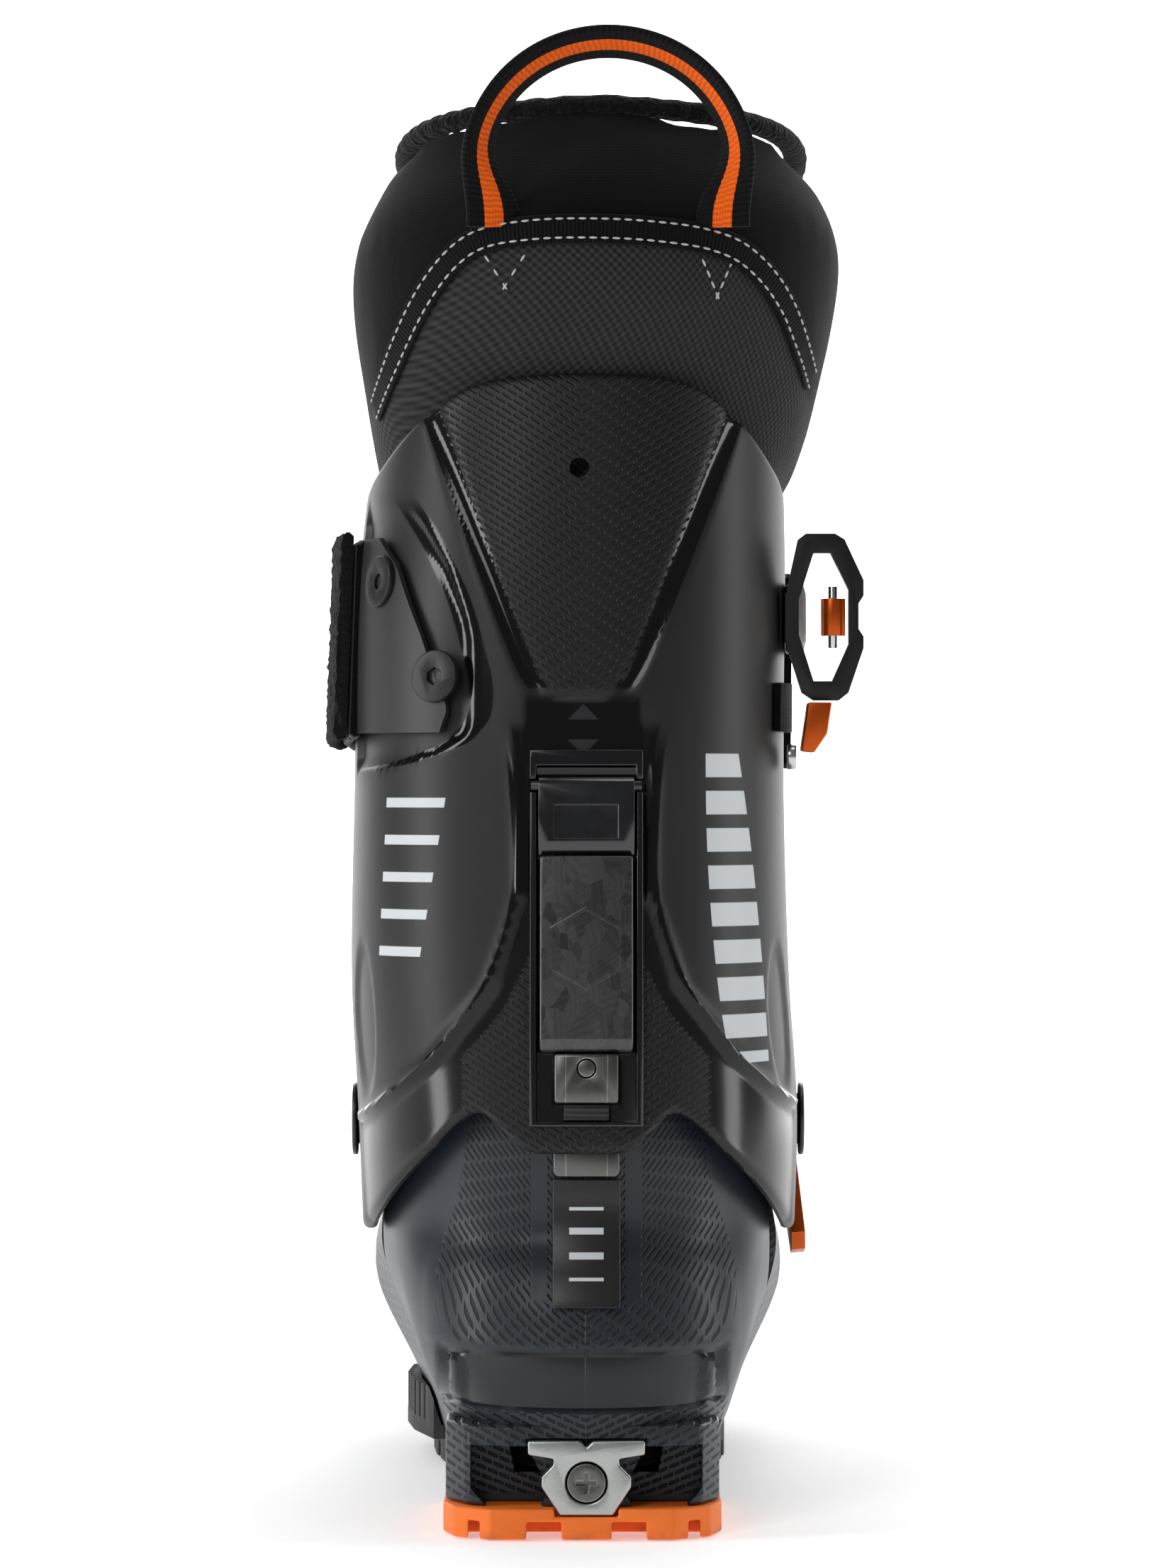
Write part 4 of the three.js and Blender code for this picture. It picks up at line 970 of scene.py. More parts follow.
class SKIBOOT_OT_lower_shell(Make):
    """Moulded lower shell with its throat, pivot flats, heel windows and fitting seat"""
    bl_idname = "ski_boot.lower_shell"
    bl_label = "Lower shell"

    def make(self):
        steps = sizes().rounds // 6
        heights = np.unique(np.concatenate([np.linspace(12, 136, 74), [31, 32.4, 45, 47.5]]))
        skin = []
        for z in heights:
            ring = shell_ring(z, 0, steps)
            ahead = np.roll(ring, -1, 0) - np.roll(ring, 1, 0)
            out = np.stack([ahead[:, 1], -ahead[:, 0], 0 * ahead[:, 0]], 1)
            out /= np.linalg.norm(out, axis=1, keepdims=True) + 1e-9
            skin.append(ring + out * shell_relief(ring)[:, None])
        clog = rings("lower_shell_skin", skin)
        levels = [z for z in np.linspace(15, 136, 26)]
        hollow = [shell_ring(z, 4.5, 24) for z in levels]
        lid = hollow[-1].copy()
        lid[:, 2] = 142
        inner = rings("tool", hollow + [lid])
        plan = [(-20, -37), (20, -37), (29, -32), (33.5, -20), (33.5, 40), (-35.5, 40), (-35.5, -20), (-30, -32)]
        heel_block = prism(2, plan, 7.9, 28)
        step = heel_block.modifiers.new("edges", "BEVEL")
        step.width, step.segments, step.limit_method, step.angle_limit = 0.0011, 3, "ANGLE", math.radians(20)
        bake(heel_block)
        carve(clog, [heel_block], "UNION")
        throat = prism(2, [(-26, 60), (20, 60), (17, 150), (10, 186), (-14, 186), (-22, 150)], 70, 150)
        tools = [inner, throat]
        for sign in (-1, 1):
            outline = [(15, 23), (29, 23), (29, 12), (24, 6.5), (12, 6.5), (9.2, 12)]
            tools.append(prism(1, [(sign * x, z) for x, z in outline], -45, -23))
            tools.append(block(sign * 34 - 4.5, sign * 34 + 4.5, -16, 4, 16, 26))
            tools.append(disc(0, 46, (48, 100), *((47.5, 72) if sign > 0 else (-82, -53.5)), sides=128))
            face = shell_side_at(240, 30, sign)
            tools.append(disc(0, 5.8, (240, 30), *((face - 3.5, face + 9) if sign > 0 else (face - 9, face + 3.5))))
        tools.append(block(-15.2, 15.2, -45, -34.5, 5, 25))
        tools.append(block(-9, 9, -46, -38.4, 57, 66))
        tools.append(disc(0, 6.8, (48, 100), -90, 90))
        carve(clog, tools)
        crease(clog, 28)
        settle(clog, look(shell_plastic), ["lower_shell"])


def shell_side_at(y, z, sign):
    """The x of the shell's side at a place along it."""
    ring = shell_ring(z, 0, 40)
    side = ring[(ring[:, 0] - shell_centre(ring[:, 1], z)) * sign > 0]
    side = side[np.argsort(side[:, 1])]
    return float(np.interp(y, side[:, 1], side[:, 0]))


class SKIBOOT_OT_soles(Make):
    """Orange heel tread and black forefoot tread"""
    bl_idname = "ski_boot.soles"
    bl_label = "Soles"

    def make(self):
        rounded("heel_outsole", "heel_tread_rubber", look(orange_rubber), 1.6, 3)
        rounded("forefoot_outsole", "forefoot_tread_rubber", look(black_rubber), 1.1, 2, 38)


class SKIBOOT_OT_fittings(Make):
    """Cast heel fitting, its screw, the toe inserts, the heel inlay and the catch plate"""
    bl_idname = "ski_boot.fittings"
    bl_label = "Fittings"

    def make(self):
        rounded("heel_tech_fitting", "heel_fitting_cast", look(cast_steel), 1.6, 3)
        rounded("heel_fitting_screw", "heel_fitting_screw_head", look(lock_steel), 0.35, 2)
        rounded("heel_inlay", "heel_inlay_plate", look(inlay_black), 1.2, 3, 45)
        rounded("shell_catch", "shell_catch_plate", look(lock_steel), 1.4, 3)
        for side in ("medial", "lateral"):
            rounded(f"toe_insert_{side}", f"toe_insert_{side}_steel", look(cast_steel), 0.8, 2)


def cuff_relief(angle, points):
    """Height of the cuff's moulded ridges and grooves over its plain surface."""
    x, z = points[:, 0], points[:, 2]
    rear = (np.abs(angle) < 76).astype(float)
    depth = sizes().groove * 1000
    centre = np.interp(z, [190, 240, 295], [-1.5, -1.0, -0.6])
    off = np.abs(x - centre)
    half = np.interp(z, [205, 210, 213.5, 217, 222, 250, 284, 292], [5, 8.5, 11.4, 13.4, 15.6, 26.5, 39, 42])
    into = half - off
    top = ease(z, 209, 213)
    groove = (1 - ease(np.abs(into + 0.5), 0.8, 3.6)) * top
    waist = np.interp(z, [100, 107, 119, 138, 161, 182, 200, 215], [60, 52, 38, 23.5, 16.2, 16.4, 18.4, 25])
    past = np.abs(x + 0.3) - waist
    below = 1 - ease(z, 199, 208)
    ridge = np.exp(-((past - 0.6) / 1.7) ** 2) * below * (1 - ease(z, 184, 202))
    hollow = (1 - ease(past, -2.4, 0)) * below
    flank = np.exp(-((np.abs(x + 0.3) - 16.6) / 1.5) ** 2) * ease(z, 118, 128) * (1 - ease(z, 190, 200))
    recess = (1 - ease(np.abs(x + 0.8), 12, 15.5)) * ease(z, 199, 203) * (1 - ease(z, 208, 212))
    cup_edge = np.interp(z, [192, 196, 201, 208, 224, 243, 263], [-52, -37, -28, -24.5, -27, -34, -46])
    cup = (1 - ease(x, cup_edge - 3.2, cup_edge)) * ease(z, 190, 195) * (1 - ease(z, 252, 263))
    cup = cup * ease(-angle, 18, 24)
    oval_dent = (1 - ease(((np.abs(angle) - 66) / 9) ** 2 + ((z - 128) / 21) ** 2, 0.55, 1.0))
    outer_roll = ease(np.abs(angle), 40, 60) * (1 - ease(z, 96, 112)) * ease(z, 70, 90)
    height = -depth * groove + 1.1 * ridge - 0.55 * hollow + 0.2 * flank - 0.9 * recess - 1.7 * cup
    return (height - 1.0 * oval_dent + 0.3 * outer_roll) * rear


def cuff_section(angle, levels):
    """A closed cross-section of the cuff's wall at one angle, with rounded lips."""
    low, high = float(cuff_hem(abs(angle))), float(cuff_rim(abs(angle)))
    lip = np.array([0.15, 0.5, 1.1, 2.0])
    z = np.concatenate([low + lip, np.linspace(low + 3, high - 3, levels), high - lip[::-1]])
    tuck = np.concatenate([[1.4, 0.75, 0.3, 0.06], np.zeros(levels), [0.06, 0.3, 0.75, 1.4]])
    outer = oval(np.full(len(z), angle), z, 0)
    normal = oval_normal(np.full(len(z), angle), z)
    outer = outer + normal * (cuff_relief(np.full(len(z), angle), outer) - tuck)[:, None]
    back = np.concatenate([[high - 0.15, high - 0.6], np.linspace(high - 2.5, low + 2.5, 12), [low + 0.6, low + 0.15]])
    inset = np.concatenate([[2.6, 3.5], np.full(12, 4.0), [3.5, 2.6]])
    return np.concatenate([outer, oval(np.full(len(back), angle), back, inset)])


class SKIBOOT_OT_cuff(Make):
    """Hinged cuff with its moulded grooves, ridges and seat for the walk lever"""
    bl_idname = "ski_boot.cuff"
    bl_label = "Cuff"

    def make(self):
        angles = np.linspace(-157, 157, sizes().rounds + 1)
        shell = rings("cuff_skin", [cuff_section(a, 118) for a in angles])
        channel = block(-14.2, 14.2, -8, 12, 2.5, 97)
        lean = math.atan(0.09)
        for point in channel.data.vertices:
            y, z = point.co.y * 1000, point.co.z * 1000
            point.co.y = (-35.85 + y * math.cos(lean) + z * math.sin(lean)) / 1000
            point.co.z = (100 - y * math.sin(lean) + z * math.cos(lean)) / 1000
        bolt_hole = disc(0, 6.8, (48, 100), -90, 90)
        sight_hole = disc(1, 2.5, (-1.8, 268), -40, 20, 32)
        carve(shell, [channel, bolt_hole, sight_hole])
        crease(shell, 40)
        settle(shell, look(cuff_plastic), ["cuff_shell"])


class SKIBOOT_OT_walk_lever(Make):
    """Walk lever, its housing and axle, and the sliding lock under it"""
    bl_idname = "ski_boot.walk_lever"
    bl_label = "Walk lever"

    def make(self):
        rounded("lever_housing", "lever_channel", look(gloss_black), 1.0, 3)
        rounded("lever_axle", "lever_axle_pin", look(dark_steel), 0.8, 2)
        rounded("lever_cap", "lever_cap_gloss", look(smoky_cap), 3.4, 5, 40)
        rounded("lever_body", "lever_body_carbon", look(forged_carbon), 2.4, 4)
        rounded("lock_bar", "lock_bar_steel", look(lock_steel), 0.7, 2, 40)
        rounded("lock_screw", "lock_screw_head", look(lock_steel), 0.35, 2)
        rounded("lock_tongue", "lock_tongue_ribbed", look(matt_black), 0.5, 2, 40)


class SKIBOOT_OT_pivots(Make):
    """Bolts and washers that the cuff turns on"""
    bl_idname = "ski_boot.pivots"
    bl_label = "Cuff pivots"

    def make(self):
        for side in ("medial", "lateral"):
            rounded(f"pivot_washer_{side}", f"pivot_washer_{side}_ring", look(matt_black), 0.6, 2)
            rounded(f"pivot_bolt_{side}", f"pivot_bolt_{side}_head", look(dark_steel), 1.4, 3)


class SKIBOOT_OT_instep(Make):
    """Instep flap, ladder, base, lever and wire bail"""
    bl_idname = "ski_boot.instep"
    bl_label = "Instep buckle"

    def make(self):
        flap = copy_of("instep_flap", "instep_flap_skin")
        step = flap.modifiers.new("voxels", "REMESH")
        step.mode, step.voxel_size = "VOXEL", 0.0011
        soften = flap.modifiers.new("soften", "SMOOTH")
        soften.iterations, soften.factor = 8, 0.5
        bake(flap)
        crease(flap, 60)
        settle(flap, look(matt_black), ["instep_flap"])
        rounded("instep_ladder", "instep_ladder_steel", look(dark_steel), 0.7, 2)
        rounded("instep_base", "instep_base_plate", look(dark_steel), 1.0, 2)
        rounded("instep_lever", "instep_lever_arm", look(orange_alloy), 1.8, 3)
        rounded("instep_lever_pin", "instep_lever_rod", look(polished_steel), 0.7, 2)
        bail = copy_of("instep_bail", "instep_bail_wire")
        step = bail.modifiers.new("round", "SUBSURF")
        step.levels = step.render_levels = 1
        bake(bail)
        crease(bail, 60)
        settle(bail, look(polished_steel), ["instep_bail"])


def strap_path(first, last, low, width, lift, step=2.0):
    """Middle line, across and normal of a band round the cuff."""
    angles = np.arange(first, last + (step if last > first else -step) / 2, step if last > first else -step)
    drop = -8 * np.sin(np.radians(np.minimum(np.abs(angles + 60) * 0.6, 90)))
    bottom = oval(angles, low + drop, -lift)
    top = oval(angles, low + drop + width, -lift)
    across = (top - bottom) / np.linalg.norm(top - bottom, axis=1, keepdims=True)
    normal = oval_normal(angles, low + drop + width / 2)
    return (top + bottom) / 2, across, normal


class SKIBOOT_OT_straps(Make):
    """Power strap with its folded hook-and-loop end, and its two bolts"""
    bl_idname = "ski_boot.straps"
    bl_label = "Power strap"

    def make(self):
        middle, across, normal = strap_path(-70, -263, 200, 52, 0.5)
        ripple = np.sin(np.arange(len(middle)) * 0.9) * 0.12
        strap = sweep("power_strap_webbing", middle + normal * ripple[:, None], across, normal,
                      strip_profile(52, 2.6, 24), look(strap_webbing))
        settle(crease(strap, 50), look(strap_webbing), ["power_strap"])
        middle, across, normal = strap_path(-72, -100, 200, 54, 3.5, 0.8)
        run = np.linspace(0, 1, len(middle))
        bulge = np.sin(run * math.pi) ** 0.5 * 0.5
        pile = sweep("strap_end_pile", middle + normal * bulge[:, None], across, normal, strip_profile(54, 3.5, 40),
                     look(hook_pile))
        rough = np.random.default_rng(4)
        for point in pile.data.vertices:
            point.co += Vector(rough.normal(0, 0.00022, 3))
        settle(crease(pile, 60), look(hook_pile), ["strap_end"])
        for side in ("upper", "lower"):
            rounded(f"strap_bolt_{side}", f"strap_bolt_{side}_head", look(bolt_black), 1.2, 3)
        self.patch()

    def patch(self):
        """The strap's sewn end, laid on the cuff under its two bolts."""
        heights = np.linspace(0, 1, 30)
        near = np.interp(heights, [0, 0.12, 0.5, 0.85, 1.0], [-29, -26.5, -36, -47, -58])
        rows = []
        for share, first in zip(heights, near):
            z = 201 + 50 * share
            angles = np.linspace(first, -72, 26)
            rows.append(np.concatenate([oval(angles, np.full(26, z), -1.15), oval(angles[::-1], np.full(26, z), 0.3)]))
        patch = rings("strap_sewn_end", rows, look(matt_black))
        flat = np.array([vertex.co for vertex in patch.data.vertices]) * 1000
        write_uv(patch, flat[:, 0] * 1.1, flat[:, 2] - 226)
        settle(crease(patch, 50), look(matt_black), ["power_strap"], "cuff")


class SKIBOOT_OT_strap_buckle(Make):
    """Frame, cam, pin, plate and link of the strap buckle"""
    bl_idname = "ski_boot.strap_buckle"
    bl_label = "Strap buckle"

    def make(self):
        rounded("buckle_handle", "buckle_frame", look(bolt_black), 2.2, 3)
        rounded("buckle_cam", "buckle_cam_orange", look(orange_alloy), 0.9, 2)
        rounded("buckle_pin", "buckle_pin_steel", look(polished_steel), 0.9, 2)
        rounded("buckle_plate", "buckle_plate_domed", look(polished_steel), 2.4, 4)
        rounded("buckle_link", "buckle_link_orange", look(orange_alloy), 1.6, 3)
        rounded("buckle_bolt", "buckle_bolt_head", look(polished_steel), 1.0, 2)
        webbing = copy_of("buckle_webbing", "buckle_webbing_strip")
        step = webbing.modifiers.new("edges", "BEVEL")
        step.width, step.segments = 0.0005, 2
        bake(webbing)
        u = np.array([v.co.y * 1000 for v in webbing.data.vertices])
        v = np.array([v.co.z * 1000 - 211 for v in webbing.data.vertices])
        write_uv(webbing, u, v)
        settle(crease(webbing, 40), look(strap_webbing), ["buckle_webbing"])


# ---------------------------------------------------------------- soft pieces

def collar_swell(angle, z):
    rear = 1 - np.sin(np.radians(angle)) ** 2
    t = np.clip((z - cuff_rim(angle)) / (58 - 24 * rear), 0, 1)
    return (15.5 + 1.5 * rear) * (1 - (1 - t) ** (1.3 + 0.7 * rear))


def liner_section(angle, extra=0.0, lean=0.0, thick=0.0):
    """A closed cross-section of the padded leg liner at one angle."""
    a = abs(angle)
    if a > 180:
        a = 360 - a
    rim = float(cuff_rim(a))
    top = float(liner_rim(a)) + extra
    low = float(liner_hem(a))
    z = np.concatenate([np.linspace(low + 1, rim, 14), np.linspace(rim + 5, top - 3, 14), [top - 0.8]])
    out = 4.6 - collar_swell(a, z) + 11.5 * ease(z, top - 30, top) + lean
    inn = 13.6 - collar_swell(a, z) * 0.55 - thick
    full = np.full(len(z), angle)
    outer = oval(full, z, out + 0.5)
    inner = oval(full, z, inn - 0.5)
    lean_out = (5 - 3.5 * ease(z, rim + 22, 325)) * ease(z, rim, rim + 14) * max(math.sin(math.radians(angle)), 0)
    outer[:, 0] += lean_out
    inner[:, 0] += lean_out
    return np.concatenate([outer, inner[::-1]])


def swell_foam(made, voxel, cap, fixed_below):
    """Remeshes a pad and lets it swell a little under pressure, as cloth, then rounds it."""
    step = made.modifiers.new("voxels", "REMESH")
    step.mode, step.voxel_size = "VOXEL", voxel
    bake(made)
    count = len(made.data.vertices)
    before = np.empty(count * 3)
    made.data.vertices.foreach_get("co", before)
    before = before.reshape(-1, 3)
    hold = made.vertex_groups.new(name="hold")
    for index, place in enumerate(before):
        share = 1 - float(ease(place[2] * 1000, fixed_below, fixed_below + 12))
        if share > 0:
            hold.add([index], share, "REPLACE")
    cloth = made.modifiers.new("cloth", "CLOTH")
    cloth.settings.quality = 6
    cloth.settings.mass = 0.25
    cloth.settings.tension_stiffness = 12
    cloth.settings.compression_stiffness = 12
    cloth.settings.bending_stiffness = 0.4
    cloth.settings.use_pressure = True
    cloth.settings.uniform_pressure_force = 4
    cloth.settings.effector_weights.gravity = 0
    cloth.settings.vertex_group_mass = "hold"
    cloth.collision_settings.use_collision = False
    cloth.point_cache.frame_start, cloth.point_cache.frame_end = 1, 20
    for number in range(1, 21):
        bpy.context.scene.frame_set(number)
    bake(made)
    bpy.context.scene.frame_set(1)
    after = np.empty(count * 3)
    made.data.vertices.foreach_get("co", after)
    move = after.reshape(-1, 3) - before
    length = np.linalg.norm(move, axis=1, keepdims=True) + 1e-12
    free = ease(before[:, 2] * 1000, fixed_below, fixed_below + 12)[:, None]
    move = move / length * np.minimum(length, cap * free + 0.0001)
    made.data.vertices.foreach_set("co", (before + move).ravel())
    made.vertex_groups.clear()
    relax = made.modifiers.new("relax", "SMOOTH")
    relax.iterations, relax.factor = 3, 0.5
    step = made.modifiers.new("round", "SUBSURF")
    step.levels = step.render_levels = 1
    bake(made)
    return crease(made, 80)


class SKIBOOT_OT_liner(Make):
    """Padded liner: leg, tongue, foot and footbed"""
    bl_idname = "ski_boot.liner"
    bl_label = "Liner"

    def make(self):
        swell = sizes().swell
        leg = rings("liner_leg_foam", [liner_section(a) for a in np.linspace(-149.6, 149.6, 121)])
        swell_foam(leg, 0.0042, swell, 292)
        settle(leg, look(liner_cloth), ["liner_cuff"])
        tongue = rings("liner_tongue_foam", [liner_section(a, 10, 0.4, 1) for a in np.linspace(154.3, 205.7, 25)])
        swell_foam(tongue, 0.0042, swell * 0.4, 262)
        settle(tongue, look(stretch_cloth), ["liner_tongue"])
        for node, name, voxel, cloth in (("liner_foot", "liner_foot_foam", 0.0036, stretch_cloth),
                                         ("footbed", "footbed_foam", 0.0019, stretch_cloth)):
            pad = copy_of(node, name)
            swell_foam(pad, voxel, 0.0006, 0 if node == "liner_foot" else 400)
            settle(pad, look(cloth), [node])
        self.piping()

    def piping(self):
        """The rolled terry edge along the top of the leg liner."""
        angles = np.linspace(-148, 148, 150)
        place = []
        for angle in angles:
            top = float(liner_rim(abs(angle)))
            out = 4.6 - collar_swell(abs(angle), top) + 11.5
            place.append(oval(angle, np.array([top - 1.0]), out + 2.2)[0]
                         + [max(math.sin(math.radians(angle)), 0) * 2.6, 0, 0])
        place = np.array(place)
        ahead = np.gradient(place, axis=0)
        ahead /= np.linalg.norm(ahead, axis=1, keepdims=True)
        across = np.cross(ahead, [0, 0, 1.0])
        across /= np.linalg.norm(across, axis=1, keepdims=True)
        up = np.cross(across, ahead)
        turn = np.linspace(0, 2 * math.pi, 18, endpoint=False)
        profile = np.stack([3.1 * np.cos(turn), 2.7 * np.sin(turn)], 1)
        lumps = 1 + 0.05 * np.sin(angles * 0.9) + 0.03 * np.sin(angles * 2.3 + 1)
        grid = place[:, None] + (across[:, None] * profile[None, :, :1] + up[:, None] * profile[None, :, 1:]) \
            * lumps[:, None, None]
        edge = rings("collar_piping", grid, look(terry_pile))
        settle(crease(edge, 70), look(terry_pile), ["liner_cuff"], "cuff")


def stitch_tree():
    """Geometry Nodes: capsules laid end to end along every wire of a mesh."""
    tree = bpy.data.node_groups.new("stitch_row", "GeometryNodeTree")
    face = tree.interface
    face.new_socket("Geometry", in_out="INPUT", socket_type="NodeSocketGeometry")
    for name, value in (("Pitch", 0.0029), ("Length", 0.0021), ("Radius", 0.00036)):
        socket = face.new_socket(name, in_out="INPUT", socket_type="NodeSocketFloat")
        socket.default_value = value
    face.new_socket("Material", in_out="INPUT", socket_type="NodeSocketMaterial")
    face.new_socket("Geometry", in_out="OUTPUT", socket_type="NodeSocketGeometry")
    new, wire = tree.nodes.new, tree.links.new
    source, result = new("NodeGroupInput"), new("NodeGroupOutput")
    curve = new("GeometryNodeMeshToCurve")
    spaced = new("GeometryNodeResampleCurve")
    spaced.mode = "LENGTH"
    ball = new("GeometryNodeMeshIcoSphere")
    ball.inputs["Subdivisions"].default_value = 2
    stretch = new("GeometryNodeTransform")
    size = new("ShaderNodeCombineXYZ")
    half = new("ShaderNodeMath")
    half.operation = "MULTIPLY"
    half.inputs[1].default_value = 0.5
    put = new("GeometryNodeInstanceOnPoints")
    tangent = new("GeometryNodeInputTangent")
    align = new("FunctionNodeAlignRotationToVector")
    align.axis = "Z"
    real = new("GeometryNodeRealizeInstances")
    paint = new("GeometryNodeSetMaterial")
    smooth = new("GeometryNodeSetShadeSmooth")
    wire(source.outputs["Geometry"], curve.inputs["Mesh"])
    wire(curve.outputs[0], spaced.inputs["Curve"])
    wire(source.outputs["Pitch"], spaced.inputs["Length"])
    ball.inputs["Radius"].default_value = 1
    wire(source.outputs["Length"], half.inputs[0])
    wire(source.outputs["Radius"], size.inputs["X"])
    wire(source.outputs["Radius"], size.inputs["Y"])
    wire(half.outputs[0], size.inputs["Z"])
    wire(ball.outputs["Mesh"], stretch.inputs["Geometry"])
    wire(size.outputs[0], stretch.inputs["Scale"])
    wire(spaced.outputs[0], put.inputs["Points"])
    wire(stretch.outputs[0], put.inputs["Instance"])
    wire(tangent.outputs[0], align.inputs["Vector"])
    wire(align.outputs[0], put.inputs["Rotation"])
    wire(put.outputs[0], real.inputs[0])
    wire(real.outputs[0], smooth.inputs[0])
    wire(smooth.outputs[0], paint.inputs["Geometry"])
    wire(source.outputs["Material"], paint.inputs["Material"])
    wire(paint.outputs[0], result.inputs[0])
    return tree


def stitched(name, wires, made_look, node):
    """Rows of stitches along wires, each a list of points in millimetres."""
    mesh = bpy.data.meshes.new(name)
    points, edges = [], []
    for row in wires:
        start = len(points)
        points += [tuple(np.asarray(p, float) / 1000) for p in row]
        edges += [(start + i, start + i + 1) for i in range(len(row) - 1)]
    mesh.from_pydata(points, edges, [])
    made = link(name, mesh)
    tree = bpy.data.node_groups.get("stitch_row") or stitch_tree()
    step = made.modifiers.new("stitches", "NODES")
    step.node_group = tree
    wanted = {"Pitch": sizes().stitch_pitch, "Length": sizes().stitch, "Radius": 0.0003, "Material": made_look}
    for item in tree.interface.items_tree:
        if item.in_out == "INPUT" and item.name in wanted:
            step[item.identifier] = wanted[item.name]
    bake(made)
    if not len(made.data.polygons):
        raise RuntimeError(f"{name} has no stitches")
    return settle(made, made_look, [node], BODY_OF[node])


class SKIBOOT_OT_liner_trim(Make):
    """Binding tape with two rows of stitches, and bar tacks under the pull loop"""
    bl_idname = "ski_boot.liner_trim"
    bl_label = "Liner trim"

    def make(self):
        leg = bpy.data.objects["liner_leg_foam"]
        surface = tree_of(leg)

        def on_liner(x, z, out=0.0):
            """The liner's surface behind a point of the rear view, and its normal there."""
            low, high = math.radians(-88), math.radians(88)
            middle = Vector((0.0015, 0.045, z / 1000))
            for _ in range(16):
                angle = (low + high) / 2
                aim = Vector((math.sin(angle), -math.cos(angle), 0))
                hit, normal, _, _ = surface.ray_cast(middle + aim * 0.2, -aim, 0.4)
                if hit is None:
                    raise RuntimeError("the tape misses the liner")
                low, high = (angle, high) if hit.x * 1000 < x else (low, angle)
            return np.array(hit) * 1000 + np.array(normal) * out, np.array(normal)

        arch = through([-66, 262], [-58, 276], [-53, 288], [-43.6, 308], [-36, 319], [-28, 325.3], [-15, 327.8],
                       [1, 328.3], [18, 327.5], [32, 325.5], [41, 321.5], [50, 311.5], [57, 295], [61, 281], [66, 266])
        xs = np.concatenate([np.linspace(-54, -47, 26), np.linspace(-46, 50, 90), np.linspace(51, 57.5, 26)])
        centre, normal = map(np.array, zip(*[on_liner(x, float(arch(x)), 0.0) for x in xs]))
        for _ in range(3):
            centre[1:-1] = (centre[:-2] + centre[1:-1] * 2 + centre[2:]) / 4
            normal[1:-1] = normal[:-2] + normal[1:-1] * 2 + normal[2:]
        normal /= np.linalg.norm(normal, axis=1, keepdims=True)
        ahead = np.gradient(centre, axis=0)
        ahead /= np.linalg.norm(ahead, axis=1, keepdims=True)
        across = np.cross(normal, ahead)
        across /= np.linalg.norm(across, axis=1, keepdims=True)
        width = sizes().tape * 1000
        tape = sweep("liner_tape", centre + normal * 0.15, across, normal, strip_profile(width, 0.9, 8),
                     look(tape_cloth))
        settle(crease(tape, 50), look(tape_cloth), ["liner_cuff"], "cuff")
        rows = [centre + normal * 1.15 + across * side * (width / 2 - 1.4) for side in (-1, 1)]
        stitched("tape_stitches", rows, look(thread), "liner_cuff")
        tacks = []
        for x0, x1, z0, z1 in ((-25, -16, 314, 321), (29.6, 36.5, 312, 320)):
            tip = ((x0 + x1) / 2, z0)
            for corner in ((x0, z1), (x1, z1)):
                run = [(corner[0] + (tip[0] - corner[0]) * t, corner[1] + (tip[1] - corner[1]) * t)
                       for t in np.linspace(0, 1, 8)]
                tacks.append([on_liner(x, z, 0.55)[0] for x, z in run])
        stitched("loop_tacks", tacks, look(thread), "liner_cuff")


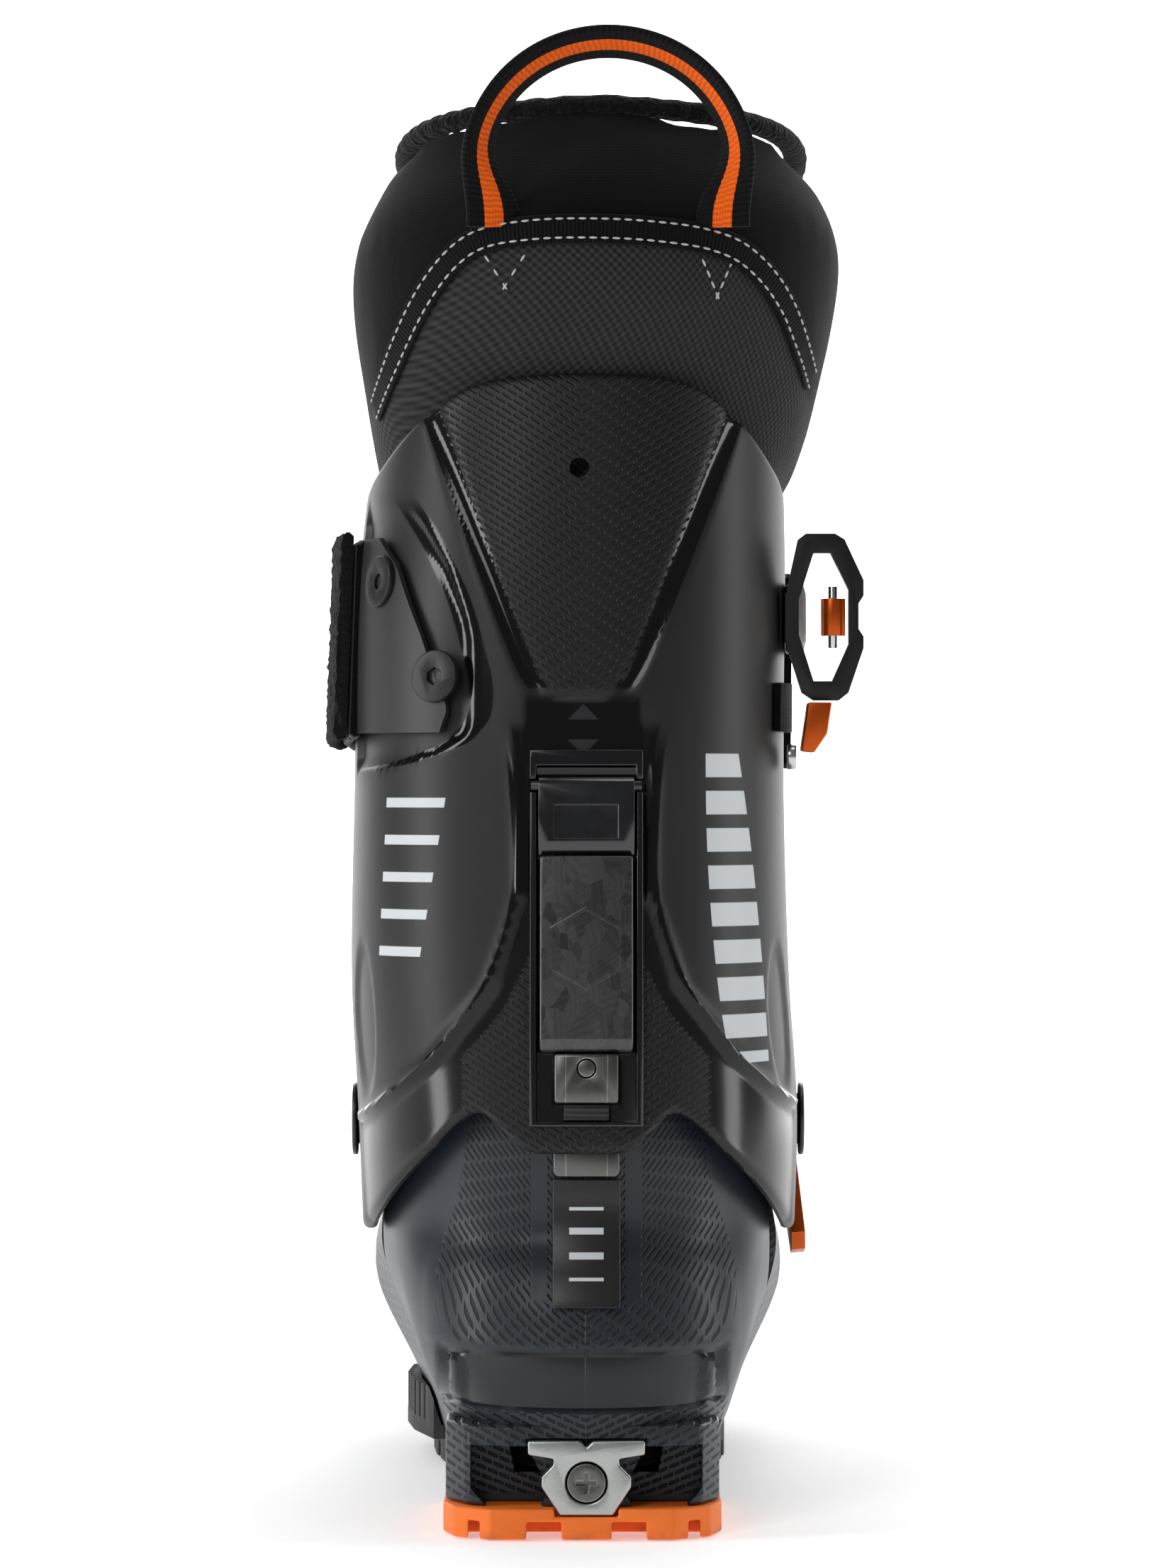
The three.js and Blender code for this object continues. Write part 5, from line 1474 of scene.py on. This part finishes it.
class SKIBOOT_OT_pull_loop(Make):
    """Webbing loop at the back of the collar"""
    bl_idname = "ski_boot.pull_loop"
    bl_label = "Pull loop"

    def make(self):
        turn = np.linspace(0, math.pi, 97)
        foot = np.exp(-(np.sin(turn) / 0.22) ** 2)
        lean = np.radians(26 + 52 * foot)
        out = np.stack([np.cos(turn), 0 * turn, np.sin(turn) ** 0.8 * 0.9], 1)
        out /= np.linalg.norm(out, axis=1, keepdims=True)
        across = np.stack([0 * turn, np.cos(lean), 0 * turn], 1) - out * np.sin(lean)[:, None]
        tangent = np.stack([-np.sin(turn), 0 * turn, np.cos(turn)], 1)
        normal = np.cross(across, tangent)
        normal /= np.linalg.norm(normal, axis=1, keepdims=True)
        place = np.stack([5.5 + (35 - 6 * foot) * np.cos(turn), -21 + 8.5 * foot,
                          329 + 46 * np.sin(turn) ** 0.75], 1)
        loop = sweep("pull_loop_webbing", place, across, normal, strip_profile(14.0, 1.9, 18, -0.95),
                     look(loop_webbing))
        settle(crease(loop, 50), look(loop_webbing), ["pull_loop"])


MAKERS = (SKIBOOT_OT_stage, SKIBOOT_OT_lower_shell, SKIBOOT_OT_soles, SKIBOOT_OT_fittings, SKIBOOT_OT_cuff,
          SKIBOOT_OT_walk_lever, SKIBOOT_OT_pivots, SKIBOOT_OT_instep, SKIBOOT_OT_straps, SKIBOOT_OT_strap_buckle,
          SKIBOOT_OT_liner, SKIBOOT_OT_liner_trim, SKIBOOT_OT_pull_loop)


class SKIBOOT_PT_panel(bpy.types.Panel):
    """Lists the makers and the settings"""
    bl_idname = "SKIBOOT_PT_panel"
    bl_label = "Ski Boot"
    bl_space_type = "VIEW_3D"
    bl_region_type = "UI"
    bl_category = "Ski Boot"

    def draw(self, context):
        column = self.layout.column()
        for group in (context.scene.ski_boot_sizes, context.scene.ski_boot_colours):
            for key in group.__annotations__:
                column.prop(group, key)
        for maker in MAKERS:
            column.operator(maker.bl_idname)


CLASSES = (BootSizes, BootColours, *MAKERS, SKIBOOT_PT_panel)


def register():
    for kind in CLASSES:
        bpy.utils.register_class(kind)
    bpy.types.Scene.ski_boot_sizes = PointerProperty(type=BootSizes)
    bpy.types.Scene.ski_boot_colours = PointerProperty(type=BootColours)


def unregister():
    del bpy.types.Scene.ski_boot_colours
    del bpy.types.Scene.ski_boot_sizes
    for kind in reversed(CLASSES):
        bpy.utils.unregister_class(kind)


def plain(bounds):
    return [[float(value) for value in corner] for corner in bounds]


def main():
    register()
    for maker in MAKERS:
        getattr(bpy.ops.ski_boot, maker.bl_idname.split(".")[1])()


if __name__ == "__main__":
    main()
